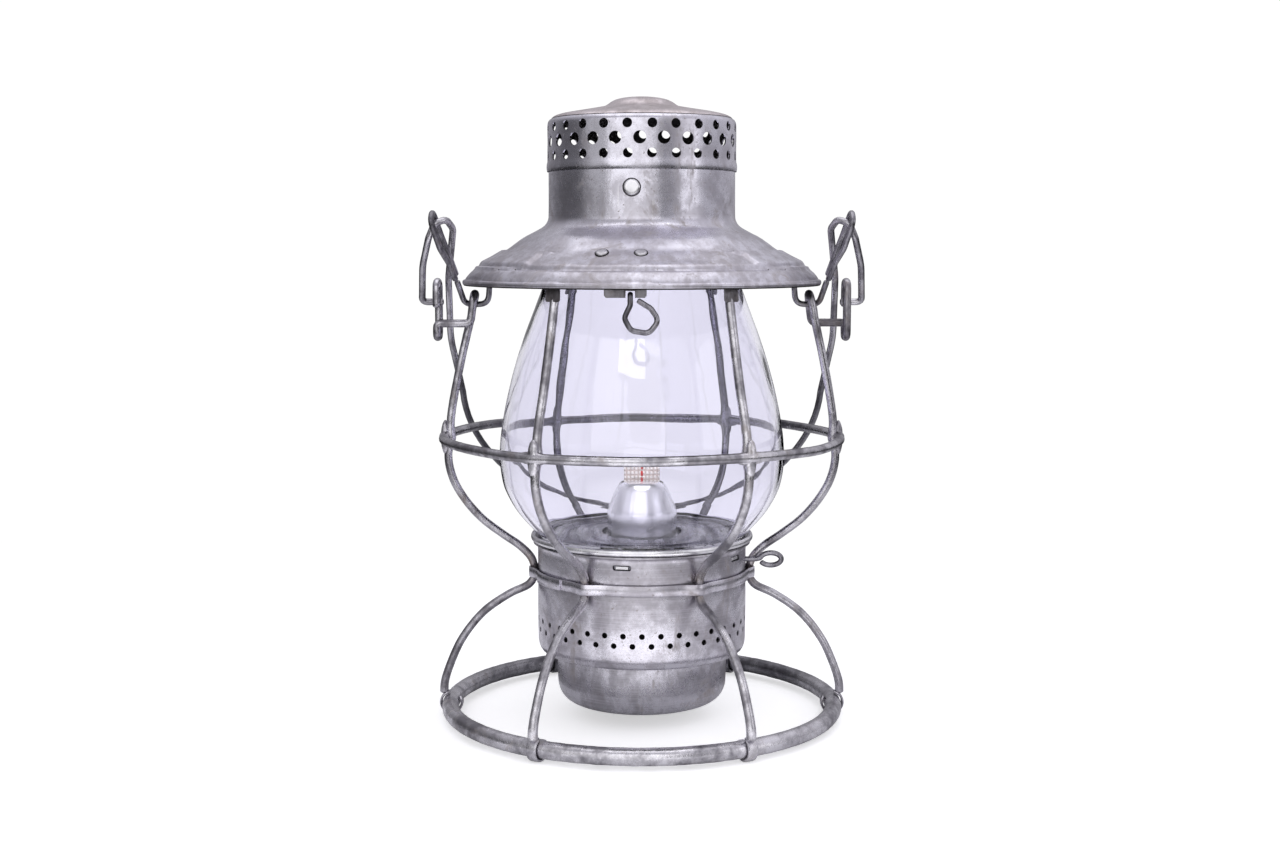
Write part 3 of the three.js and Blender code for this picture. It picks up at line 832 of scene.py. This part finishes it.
def band_radius(azimuth):
    r = BELL_R + 0.42
    for s in WIRES:
        d = abs((azimuth - s + 180) % 360 - 180)
        r += 2.75 * math.exp(-((d / 6.0) ** 2))
    return r


def band_piece(first, last, thick, grow=0.0, steps=540):
    closed = last - first >= 360
    count = steps if closed else max(6, int(steps * (last - first) / 360))
    h = BAND_HIGH - BAND_LOW
    section = [(0, 0.2), (0, h - 0.2), (0.25 * thick, h), (0.75 * thick, h), (thick, h - 0.25)]
    section += [(thick * 1.12, h * 0.5), (thick, 0.25), (0.75 * thick, 0), (0.25 * thick, 0)]
    rings = count if closed else count + 1
    verts = []
    for i in range(rings):
        az = first + (last - first) * i / count
        r = band_radius(az) + grow
        verts += [polar(az, r + dr, BAND_LOW + dz) for dr, dz in section]
    return verts, skin(rings, len(section), closed)


redraw("clamp_band", *band_piece(0, 360, 0.8), TIN, "frame", slot="tinplate")
make("clamp_band_lap", *band_piece(-72, -47, 0.55, 0.95), TIN, "frame", slot="tinplate")

# ---------------------------------------------------------------- bell
def dents(amount, scale, seed=0.0):
    def bump(az, r, z):
        p = polar(az, r, z)
        return amount * grain(p, scale, seed), 0.0

    return bump


bell_line = [
    (47.3, 77.2), (46.4, 77.3), (45.6, 76.6), (45.4, 75.6), (45.4, 75.0), (45.4, 67.2),
    (45.25, 66.6), (45.25, 60.6), (45.4, 60.0), (45.4, 35.5), (45.3, 33.6), (44.8, 31.6),
    (43.6, 30.0), (42.1, 29.6)
]
bell = redraw(
    "bell", *turned(bell_line, 2, 1.1, 0.7, 216, dents(0.14, 0.05)), TIN, "frame", slot="tinplate"
)
holes = []
for row, z in enumerate((44.5, 40.3)):
    holes += [drill(1.22, (i + row / 2) * 10, BELL_R, z, 20, 3) for i in range(36)]
for i in range(5):
    az = -10.6 + 72 * i
    w, h = 3.9, 1.15
    outline = [
        (-w, -h + 0.5), (-w + 0.5, -h), (w - 0.5, -h), (w, -h + 0.5), (w, h - 0.5), (w - 0.5, h),
        (-w + 0.5, h), (-w, h - 0.5)
    ]
    holes.append(plate(outline, 6.0, lambda a, b, c, az=az: polar(az, 42 + c, 73.2 + b, a)))
holes.append(drill(1.6, 84.0, BELL_R, 69.8, 20, 3))
carve(bell, holes)
sooty(bell)

# ---------------------------------------------------------------- globe seat
seat = [
    (47.2, 78.25), (48.0, 78.5), (48.4, 79.4), (48.2, 80.6), (47.6, 81.15), (47.1, 80.9),
    (46.8, 80.1), (45.5, 79.9)
]
for r in (42.5, 38.5, 34.5):
    seat += [(r + 1.2, 79.9), (r + 0.5, 80.35), (r - 0.3, 80.35), (r - 1.0, 79.9)]
seat += [
    (31.0, 79.9), (30.0, 80.95), (27.5, 81.0), (26.6, 80.6), (24.5, 80.6), (23.6, 81.0),
    (17.4, 81.0)
]
under = [(17.4, 80.3), (29.4, 80.2), (30.4, 79.2), (46.4, 79.2), (46.9, 78.4)]
verts, faces = lathe([np.array(p, float) for p in soften(seat, 1) + under], False, 192)
tabs, lips = [], []
for i in range(5):
    place = lambda a, b, c, az=-10.6 + 72 * i: polar(az, 42.6 + c, b, a)
    tabs.append(plate([(-5.6, 70.4), (5.6, 70.4), (5.6, 79.3), (-5.6, 79.3)], 0.8, place))
    lips.append(plate([(-2.7, 72.5), (2.7, 72.5), (2.7, 73.9), (-2.7, 73.9)], 2.4, place))
seat_obj = redraw("globe_seat", *merge((verts, faces), *tabs), SEAT, "frame", slot="tinplate")
seat_obj.data.materials.append(STUD)
for face in seat_obj.data.polygons:
    if math.hypot(face.center.x, face.center.y) > 46.6 * MM:
        face.material_index = 1
make("seat_tab_lips", *merge(*lips), STUD, "frame", slot="tinplate")

# ---------------------------------------------------------------- globe
globe_line = [
    (37.6, 206), (37.9, 202.5), (39.2, 198), (41.0, 192.4), (43, 187), (47.2, 175.8), (51.3, 164.7),
    (54.8, 153.8), (57.7, 143.1), (60.0, 132.4), (61.3, 123.5), (61.7, 117), (61.6, 110.6),
    (60.4, 103.2), (58.8, 99.0), (56.6, 94.8), (53.9, 90.6), (50.6, 86.7), (48.4, 84.4),
    (46.6, 82.4), (45.0, 80.7)
]


def blown(az, r, z):
    p = polar(az, r, z)
    fade = min(1, max(0, (z - 84) / 12)) * min(1, max(0, (204 - z) / 12))
    return fade * (0.20 * grain(p, 0.030, 5.0) + 0.05 * grain(p * [1, 1, 2.4], 0.07, 9.0)), 0.0


globe = redraw(
    "globe",
    *turned(globe_line, 2, 1.6, 2.0, 192, blown),
    GLASS,
    "frame",
    angle=60,
    slot="globe_glass",
)

# ---------------------------------------------------------------- lid
lid_line = [
    (39.75, 238.6), (39.8, 237.0), (39.9, 235.8), (39.9, 217.8), (40.4, 215.6), (42.1, 213.4),
    (45.9, 211.3), (50.6, 208.9), (54.4, 206.2), (57.5, 203.9), (60.6, 202.2), (64.4, 200.1),
    (67.6, 198.5), (68.8, 197.9), (69.5, 196.9), (69.9, 195.9), (70.6, 195.7), (71.8, 195.5),
    (73.2, 194.4), (74.6, 192.9), (75.4, 191.8), (75.7, 191.1), (76.2, 191.1), (76.8, 190.7),
    (77.0, 189.9), (76.7, 189.0), (76.3, 188.6)
]


def brim(az, r, z):
    """A raised panel on each side of the brim with a curved front edge, and light dents."""
    side = abs((az + 180) % 360 - 180)
    front = 37 + 5 * smooth_step(r, 59.5, 62) + 16 * smooth_step(r, 69.3, 71.6) ** 2
    around = smooth_step(side, front - 1.1, front + 1.1) * (1 - smooth_step(side, 132, 135))
    across = smooth_step(r, 58.8, 60.0) * (1 - smooth_step(r, 71.3, 72.2))
    p = polar(az, r, z)
    inside = 1 if r < 76.2 else 0
    soft = 0.24 * grain(p, 0.045, 2.0) + 0.10 * grain(p, 0.16, 6.0)
    if r < 41:
        return 0.25 * soft, 0.0
    return 0.5 * soft * inside, (1.05 * around * across + soft) * inside


lid = redraw("lid_brim", *turned(lid_line, 1, 0.7, 0.6, 288, brim), LID, "lid", slot="tinplate")
sooty(lid, 0.5, 0.35)

vent_line = [
    (38.5, 259.0), (39.3, 258.6), (39.9, 257.9), (40.2, 256.9), (40.3, 255.6), (40.3, 241.4),
    (40.4, 240.5), (40.65, 239.8), (40.72, 239.0), (40.7, 237.9), (40.62, 237.2), (40.5, 236.7)
]
vent = redraw(
    "vent_band",
    *turned(vent_line, 2, 1.0, 0.6, 240, dents(0.10, 0.06, 3.0)),
    LID,
    "lid",
    slot="tinplate",
)
holes = []
for row, z in enumerate((255.1, 249.3, 243.1)):
    r = 2.65 if row == 1 else 2.0
    turn = 0 if row == 1 else 0.5
    for i in range(25):
        az = (i + turn) * 14.4 - 1.2 + 0.8 * noise.noise(Vector((i * 1.7, row * 3.1, 0)))
        holes.append(drill(r, az, 40.3, z + 0.25 * noise.noise(Vector((i * 2.3, row, 9))), 28, 4))
carve(vent, holes)
sooty(vent)

cap_line = [
    (0, 268.4), (6, 268.25), (10.2, 267.6), (12.9, 266.5), (14.6, 265.2), (15.8, 264.5),
    (17.6, 264.15), (20, 263.7), (28, 262.3), (34, 261.2), (36.6, 260.5), (38.0, 259.8),
    (38.5, 259.2)
]


def cap_dents(az, r, z):
    p = polar(az, r, z)
    fade = min(1, r / 8) * (1 if r < 38 else 0)
    return 0.0, -0.22 * fade * abs(grain(p, 0.06, 8.0))


cap = redraw("cap_top", *turned(cap_line, 2, 0.9, 0.6, 160, cap_dents), CAP, "lid", slot="tinplate")
sooty(cap, 0.9, 0.3)


def rivet_head(name, azimuth, radius, z, size, tall, tilt, node, finish=STUD):
    """A pressed rivet head and a dark ring of painted shade round its foot, lying on a sloping sheet.
    """
    head = [
        (0, tall),
        (size * 0.6, tall * 0.99),
        (size * 0.84, tall * 0.9),
        (size * 0.96, tall * 0.55),
        (size, 0.1),
        (size * 0.98, 0.0),
        (0, 0),
    ]
    # painted shade: a thin flat ring with the sooty finish, laid round the head's foot
    shade_ring = [(size + 0.05, 0.26), (size + 0.32, 0.22), (size + 0.40, 0.0), (size + 0.02, 0.0)]
    n = polar(azimuth, math.cos(tilt * DEG), math.sin(tilt * DEG))
    side = polar(azimuth, 0, 0, 1)
    up = np.cross(n, side)
    at = polar(azimuth, radius, z)
    for part, line, capped, stuff in (("", head, True, finish), ("_grime", shade_ring, False, SOOT)):
        v, f = lathe([np.array(p, float) for p in line], capped, 40)
        v = [q * [1 + 0.05 * grain(q, 0.5, radius), 1, 1] for q in v]
        moved = [at + side * q[0] + up * q[1] + n * q[2] for q in v]
        make(name + part, moved, f, stuff, "lid", [] if part else [node], angle=50, slot="tinplate")


rivet_head("chimney_rivet_fine", -6, 39.95, 229.2, 3.4, 0.8, 0, "chimney_rivet")
rivet_head("brim_rivet_left_fine", -15.5, 59.9, 202.75, 2.5, 0.75, 60, "brim_rivet_left", DULL)
rivet_head("brim_rivet_right_fine", -0.4, 59.9, 202.75, 2.5, 0.75, 60, "brim_rivet_right", DULL)

PULL_X = -4.6
outline = [
    (-14.9, 186.3), (-14.2, 185.4), (PULL_X - 1.9, 185.4), (PULL_X - 1.8, 188.1),
    (PULL_X + 1.8, 188.1), (PULL_X + 1.9, 185.4), (1.1, 185.4), (1.8, 186.3), (1.8, 190.7),
    (-14.9, 190.7)
]
redraw(
    "latch_plate",
    *plate(outline, 0.9, lambda a, b, c: np.array([a, -72.3 + c, b])),
    CLIP,
    "lid",
    slot="tinplate",
)

pull = rounded(
    [
        ((PULL_X, -66.0, 186.6), 0),
        ((PULL_X, -75.2, 186.6), 1.6),
        ((PULL_X, -75.2, 182.6), 2),
        ((-7.0, -75.2, 177.6), 3),
        ((-4.4, -75.2, 172.8), 3.6),
        ((2.6, -75.2, 171.6), 3.6),
        ((6.6, -75.2, 176.6), 3.6),
        ((3.4, -75.2, 181.4), 3),
        ((-1.8, -75.2, 184.6), 0),
    ]
)
redraw("latch_pull", *tube(resample(pull, 0.5), 1.08, 16), DARK, "lid_latch", slot="wire")

# ---------------------------------------------------------------- hinge
HY, HZ = HINGE[1], HINGE[2]


def knuckle(x0, x1, outer, bore):
    sides = 40
    ring_ = [
        (outer - 0.15, x0), (outer, x0 + 0.15), (outer, x1 - 0.15), (outer - 0.15, x1), (bore, x1),
        (bore, x0)
    ]
    v, f = lathe([np.array(p, float) for p in ring_], False, sides)
    return [np.array([q[2], HY + q[0], HZ + q[1]]) for q in v], f


leaf_upper = [
    (78.2, 189.6), (79.6, 189.6), (79.4, 191.6), (76.2, 194.0), (71.9, 198.3), (66.9, 200.6),
    (66.3, 199.5), (71.2, 197.2), (75.3, 193.0), (78.2, 190.9)
]
leaf_low = [(HY - 1.9, HZ + 1.9), (HY + 1.0, HZ + 2.0), (HY + 0.6, HZ + 3.6), (HY - 1.2, HZ + 3.8)]
along_x = lambda x0: (lambda a, b, c: np.array([x0 + c, a, b]))
redraw(
    "lid_hinge_leaf",
    *merge(
        plate(leaf_upper, 14.0, along_x(-7)),
        plate(leaf_low, 5.8, along_x(-2.9)),
        knuckle(-2.9, 2.9, 2.38, 1.5),
    ),
    TIN,
    "lid",
    slot="tinplate",
)
bracket = [
    (HY - 2.9, HZ - 2.1), (HY - 2.9, HZ - 1.2), (76, 185.6), (70.6, 186.2), (67.2, 190.4),
    (67.2, 194.2), (66.1, 194.2), (66.1, 190), (70, 185), (76, 184.4)
]
tongue = [(HY - 3.1, HZ - 2.25), (HY - 0.4, HZ - 2.3), (HY - 0.4, HZ - 1.6), (HY - 3.1, HZ - 1.2)]
redraw(
    "hinge_bracket",
    *merge(
        plate(bracket, 14.0, along_x(-7)),
        plate(tongue, 3.8, along_x(-7)),
        plate(tongue, 3.8, along_x(3.2)),
        knuckle(-7.0, -3.2, 2.38, 1.5),
        knuckle(3.2, 7.0, 2.38, 1.5),
    ),
    TIN,
    "frame",
    slot="tinplate",
)
pin = resample([(-8, HY, HZ), (8, HY, HZ)], 0.8)
redraw("hinge_pin", *tube(pin, 1.15, 20, rough=0.01), DARK, "frame", slot="wire")

# ---------------------------------------------------------------- bail, clips and rests
LEAN = 38 * DEG
HALF, REACH, OFFSET = 82.0, 142.7, 8.6


def on_bail(x, along, behind):
    y = -along * math.sin(LEAN) + behind * math.cos(LEAN)
    return np.array([x, y, AXIS_Z + along * math.cos(LEAN) + behind * math.sin(LEAN)])


def bail_side(s):
    return rounded(
        [
            (on_bail(s * 85.4, 0, 0), 0),
            (on_bail(s * 94.7, 0, 0), 2.4),
            (on_bail(s * 92.8, 20, 0), 40),
            (on_bail(s * 89.2, 34.2, 0.6), 4.5),
            (on_bail(s * 86.4, 40.0, 3.2), 3.8),
            (on_bail(s * 81.8, 39.6, 6.4), 3.8),
            (on_bail(s * 79.6, 33.0, OFFSET), 6),
            (on_bail(s * 83.6, 6, OFFSET), 60),
            (on_bail(s * 85.2, -28, OFFSET), 80),
            (on_bail(s * HALF, HALF - REACH, OFFSET), 0),
        ]
    )


bow = []
for k in range(1, 48):
    a = math.pi + k / 48 * math.pi
    bow.append(on_bail(HALF * math.cos(a), HALF - REACH + HALF * math.sin(a), OFFSET))
run = resample(bail_side(-1) + bow + bail_side(1)[::-1], 0.9)
redraw(
    "bail",
    *tube(run, lambda p, _: 1.46 * (1 + 0.02 * grain(p, 0.1)), 16),
    WIRE,
    "bail",
    slot="wire",
)

for hand, s in (("left", -1), ("right", 1)):
    clip = rounded(
        [
            (on_bail(s * 79.2, 13.4, 1.7), 0),
            (on_bail(s * 81.0, 21.5, 2.0), 20),
            (on_bail(s * 84.6, 31.0, 6.4), 8),
            (on_bail(s * 87.4, 43.9, 7.0), 3.7),
            (on_bail(s * 87.4, 43.9, -0.6), 3.7),
            (on_bail(s * 84.4, 31.0, -2.4), 12),
            (on_bail(s * 80.8, 21.5, -1.9), 20),
            (on_bail(s * 79.2, 13.4, -1.6), 0),
        ]
    )
    redraw("bail_clip_" + hand, *tube(resample(clip, 0.6), 1.27, 14), DARK, "bail", slot="wire")
    rest = rounded(
        [
            ((s * 65.6, 0, 188.8), 0),
            ((s * 66.2, 0, AXIS_Z - 1.0), 4.6),
            ((s * 76.2, 0, AXIS_Z - 1.0), 4.0),
            (on_bail(s * 78.9, 11.6, 0), 0),
        ]
    )
    redraw("bail_rest_" + hand, *tube(resample(rest, 0.6), 1.27, 14), DARK, "frame", slot="wire")

# ---------------------------------------------------------------- fount catch
CY, CZ = -4.7, 69.8
grip = [(39, CY, CZ), (45, CY, CZ), (50, CY, CZ + 0.1)]
grip += [(56.1 - 4.6 * math.cos(a * DEG), CY, CZ + 2.7 * math.sin(a * DEG)) for a in range(14, 345, 12)]
grip = catmull(grip, 6)
redraw("catch_pull", *tube(resample(grip, 0.5), 1.15, 16), DARK, "fount_catch", slot="wire")

# ---------------------------------------------------------------- fount and burner
pot_outer = [
    (0, 6.5), (24, 6.5), (28.6, 6.7), (32.4, 7.9), (35.2, 10.4), (36.6, 13.6), (37.0, 17),
    (37.0, 57.6), (38.4, 59.2), (40.3, 60.1), (40.3, 61.1), (36, 62.6), (16, 66.5), (10.8, 67.1),
    (10.8, 71.9)
]
pot_inner = [
    (9.9, 71.9), (9.9, 66.3), (16, 65.6), (35.6, 61.4), (36.1, 56), (36.1, 17), (33, 10.2),
    (28, 7.5), (0, 7.4)
]


def pot_dents(az, r, z):
    p = polar(az, r, z)
    pit = math.exp(-(((az - 38) / 10) ** 2) - ((z - 17) / 7) ** 2)
    return (-0.9 * pit + 0.12 * grain(p, 0.06, 4.0)) * (1 if r > 20 and z < 57 else 0), 0.0


pot_profile = [np.array(p, float) for p in dense(soften(pot_outer, 2), 1.4) + pot_inner]
pot = redraw("oil_fount", *lathe(pot_profile, True, 144, pot_dents), POT, "fount", slot="tinplate")
pot.data.materials.append(SOOT)
for face in pot.data.polygons:
    if 37 * MM < face.center.z < 66 * MM:
        face.material_index = 1

base_line = [
    (18.7, 78.9), (17.0, 78.7), (15.2, 78.9), (12.8, 78.3), (11.9, 77.6), (11.6, 76.6), (11.6, 72.5)
]
burner = redraw("burner_base", *turned(base_line, 1, 0.8, 0.6, 120), BRIGHT, "fount", slot="bright")
hole = tube(resample([(2, 5.4, 75.2), (24, 5.4, 75.2)], 2.0), 1.7, 16, rough=0)
carve(burner, [hole])

cone_line = [
    (0, 103.7), (6.5, 103.6), (8.8, 103.1), (10.2, 102.1), (11.2, 100.4), (12.4, 97.4),
    (13.6, 94.3), (14.6, 91.9), (15.1, 90.6), (15.2, 89.7), (15.2, 83.6), (15.0, 83.2), (15.0, 80.0)
]
cone = redraw("burner_cone", *turned(cone_line, 1, 0.8, 0.6, 144), BRIGHT, "fount", slot="bright")
slot_outline = [
    (-9.4, -1.8), (-8.4, -2.9), (8.4, -2.9), (9.4, -1.8), (9.4, 1.8), (8.4, 2.9), (-8.4, 2.9),
    (-9.4, 1.8)
]
carve(cone, [plate(slot_outline, 10.0, lambda a, b, c: np.array([a, b, 98 + c]))])

walls = []
for outline in (
    [(-8.85, -1.85), (8.85, -1.85), (8.85, -1.25), (-8.85, -1.25)],
    [(-8.85, 1.25), (8.85, 1.25), (8.85, 1.85), (-8.85, 1.85)],
    [(-8.85, -1.2), (-8.35, -1.2), (-8.35, 1.2), (-8.85, 1.2)],
    [(8.35, -1.2), (8.85, -1.2), (8.85, 1.2), (8.35, 1.2)],
):
    walls.append(plate(outline, 41.8, lambda a, b, c: np.array([a, b, 58.1 + c])))
wick_tube = redraw("wick_tube", *merge(*walls), BRIGHT, "fount", slot="bright")


def wheel(x0, x1, radius, teeth=0, depth=0.5):
    n = teeth * 4 if teeth else 36
    v, f = [], []
    for x in (x0, x1):
        for k in range(n):
            r = radius - (depth if teeth and k % 4 >= 2 else 0)
            a = 2 * math.pi * k / n
            v.append(np.array([x, 5.4 + r * math.cos(a), 75.2 + r * math.sin(a)]))
    f += [tuple(range(n)), tuple(n + k for k in reversed(range(n)))]
    f += [(k, k + n, (k + 1) % n + n, (k + 1) % n) for k in range(n)]
    return v, f


raiser = tube(resample([(-7.4, 5.4, 75.2), (25.4, 5.4, 75.2)], 1.0), 1.15, 16, rough=0)
redraw(
    "wick_raiser",
    *merge(
        raiser, wheel(-5.2, -4.0, 3.0, 12), wheel(4.0, 5.2, 3.0, 12),
        wheel(24.4, 26.9, 3.35, 18, 0.3)
    ),
    BRIGHT,
    "raiser",
    slot="bright",
)

# ---------------------------------------------------------------- wick
w_low, w_high = low("wick"), high("wick")
cols, rows = 60, 300


def weave(front):
    out = []
    for j in range(rows + 1):
        z = w_low[2] + (w_high[2] - w_low[2]) * j / rows
        for i in range(cols + 1):
            x = w_low[0] + 0.1 + (w_high[0] - w_low[0] - 0.2) * i / cols
            yarn = math.sin(x * 5.2 + (0 if int(z / 0.72) % 2 else math.pi))
            rib = 0.62 + 0.09 * yarn * abs(math.sin(z / 0.72 * math.pi)) + 0.03 * grain((x, z, 1), 1.2)
            edge = min(1, (min(i, cols - i) + 0.4) / 2.5)
            out.append(np.array([x, (-1 if front else 1) * rib * edge, z]))
    return out


verts = weave(True) + weave(False)
n = (cols + 1) * (rows + 1)
faces = []
for j in range(rows):
    for i in range(cols):
        a = j * (cols + 1) + i
        faces.append((a, a + 1, a + cols + 2, a + cols + 1))
        faces.append((n + a + 1, n + a, n + a + cols + 1, n + a + cols + 2))
for j in range(rows):
    for i in (0, cols):
        a = j * (cols + 1) + i
        faces.append((a, a + cols + 1, n + a + cols + 1, n + a))
for i in range(cols):
    for j in (0, rows):
        a = j * (cols + 1) + i
        faces.append((a, a + 1, n + a + 1, n + a))
wick = redraw("wick", verts, faces, COTTON, "wick", slot="cotton")

stitches = []
z = 97.0
while z < w_high[2] - 2.4:
    path = resample(
        [(0, -0.3, z), (0.1, -0.62, z + 0.6), (-0.05, -0.62, z + 1.5), (0, -0.3, z + 2.0)], 0.16
    )
    stitches.append(tube(path, 0.50, 10, rough=0.10))
    z += 2.9
tracer = make("wick_tracer", *merge(*stitches), THREAD, "wick", slot="cotton")

# ---------------------------------------------------------------- floor, light, camera
paper = Net("floor")
distance = paper.node("ShaderNodeVectorMath", operation="LENGTH")
paper.link(paper.coords(), distance.inputs[0])
away = paper.ramp(distance.outputs["Value"], 0.12, 0.62)
paper.feed("Base Color", paper.mix(away, (0.80, 0.80, 0.82), (0.0, 0.0, 0.0)))
ray_kind = paper.node("ShaderNodeLightPath")
glow = paper.ramp(distance.outputs["Value"], 0.12, 0.62, 0.52, 1.02)
direct = paper.math(
    "MAXIMUM", ray_kind.outputs["Is Camera Ray"], ray_kind.outputs["Is Transmission Ray"]
)
at = paper.where()
aside = paper.math("ABSOLUTE", at["X"], 0.0)
near = paper.times(
    paper.ramp(at["Y"], -0.16, -0.05, 0.82, 0.0), paper.ramp(at["Y"], -0.90, -0.34, 0.12, 1.0)
)
in_front = paper.times(paper.ramp(aside, 0.04, 0.32, 1.0, 0.0), near)
sheen = paper.times(in_front, ray_kind.outputs["Is Glossy Ray"])
paper.feed("Emission Strength", paper.math("ADD", paper.times(glow, direct), sheen))
paper.feed("Emission Color", (1, 1, 1, 1))
paper.feed("Roughness", 0.9)
paper.feed("Specular IOR Level", 0.0)
ASIDE, NEAR_EDGE, FAR_EDGE = 4000, -4000, 6000
corners = [(-ASIDE, NEAR_EDGE, 0), (ASIDE, NEAR_EDGE, 0), (ASIDE, FAR_EDGE, 0), (-ASIDE, FAR_EDGE, 0)]
floor = make("floor", corners, [(0, 1, 2, 3)], paper.m, None)


def area(name, at, aim, size, power, tall=None):
    data = bpy.data.lights.new(name, "AREA")
    data.energy, data.size = power, size
    if tall:
        data.shape, data.size_y = "RECTANGLE", tall
    obj = bpy.data.objects.new(name, data)
    bpy.context.scene.collection.objects.link(obj)
    obj.location = at
    obj.rotation_euler = (Vector(aim) - Vector(at)).to_track_quat("-Z", "Y").to_euler()
    return obj


CENTRE = (0, 0, 0.13)
area("key", (-0.26, -1.25, 0.55), CENTRE, 1.5, 6.6, 1.15)
area("wing", (-1.15, -0.72, 0.45), CENTRE, 0.7, 0.9, 1.0)
area("fill", (1.25, -0.75, 0.45), CENTRE, 0.7, 1.6, 0.9)
area("top", (0.0, 0.1, 1.5), CENTRE, 1.3, 5.0)
within = area("within", (0.0, -0.036, 0.160), (0.0, 0.0, 0.095), 0.066, 0.055)
window = area("window", (-0.068, -0.44, 0.47), (-0.013, -0.052, 0.160), 0.20, 0.55, 0.17)
for lamp, lit in ((within, (cone, burner, wick, tracer, seat_obj, wick_tube)), (window, (globe,))):
    lamp.visible_camera = lamp.visible_transmission = False
    group = bpy.data.collections.new(lamp.name + "_lights_only")
    for piece in lit:
        group.objects.link(piece)
    lamp.light_linking.receiver_collection = group

world = bpy.data.worlds.new("studio")
world.use_nodes = True
bpy.context.scene.world = world
tree = world.node_tree
tree.nodes.clear()
out = tree.nodes.new("ShaderNodeOutputWorld")
coord = tree.nodes.new("ShaderNodeTexCoord")
split = tree.nodes.new("ShaderNodeSeparateXYZ")
tree.links.new(coord.outputs["Generated"], split.inputs[0])


def world_range(source, a, b, c, d):
    n = tree.nodes.new("ShaderNodeMapRange")
    n.interpolation_type = "SMOOTHSTEP"
    for key, value in (("From Min", a), ("From Max", b), ("To Min", c), ("To Max", d)):
        n.inputs[key].default_value = value
    tree.links.new(source, n.inputs["Value"])
    return n.outputs["Result"]


def added(a, b):
    n = tree.nodes.new("ShaderNodeMath")
    n.operation = "ADD"
    for socket, source in zip(n.inputs, (a, b)):
        tree.links.new(source, socket)
    return n.outputs[0]


def backdrop(colour, strength):
    n = tree.nodes.new("ShaderNodeBackground")
    n.inputs["Color"].default_value = (*colour, 1)
    if isinstance(strength, float):
        n.inputs["Strength"].default_value = strength
    else:
        tree.links.new(strength, n.inputs["Strength"])
    return n.outputs[0]


def choose(kind, otherwise, chosen):
    """The chosen backdrop for one kind of ray, and the other one for the rest."""
    n = tree.nodes.new("ShaderNodeMixShader")
    for socket, source in zip(n.inputs, (ray.outputs[kind], otherwise, chosen)):
        tree.links.new(source, socket)
    return n.outputs[0]


side = world_range(split.outputs["X"], 0.05, 0.95, 0.13, 0.60)
above = world_range(split.outputs["Z"], 0.20, 0.90, 0.0, 0.55)
rear = world_range(split.outputs["Y"], 0.30, 0.95, 0.0, 0.24)
studio = backdrop((0.95, 0.94, 1.0), added(added(side, above), rear))
behind = backdrop((1, 1, 1), world_range(split.outputs["Y"], 0.25, 0.80, 0.58, 1.03))
plain = backdrop((1, 1, 1), 1.03)
ray = tree.nodes.new("ShaderNodeLightPath")
through = choose("Is Transmission Ray", studio, behind)
tree.links.new(choose("Is Camera Ray", through, plain), out.inputs[0])

camera = bpy.data.cameras.new("camera")
camera.sensor_width = 36.0
camera.lens = 1750 / 1280 * 36
camera.clip_start, camera.clip_end = 0.01, 30
eye = bpy.data.objects.new("camera", camera)
bpy.context.scene.collection.objects.link(eye)
eye.location = (-0.0008, -0.756, 0.2081)
eye.rotation_euler = ((90 - 6.12) * DEG, 0, 0)
bpy.context.scene.camera = eye
bpy.context.scene.view_settings.view_transform = "Standard"

bpy.context.view_layer.update()
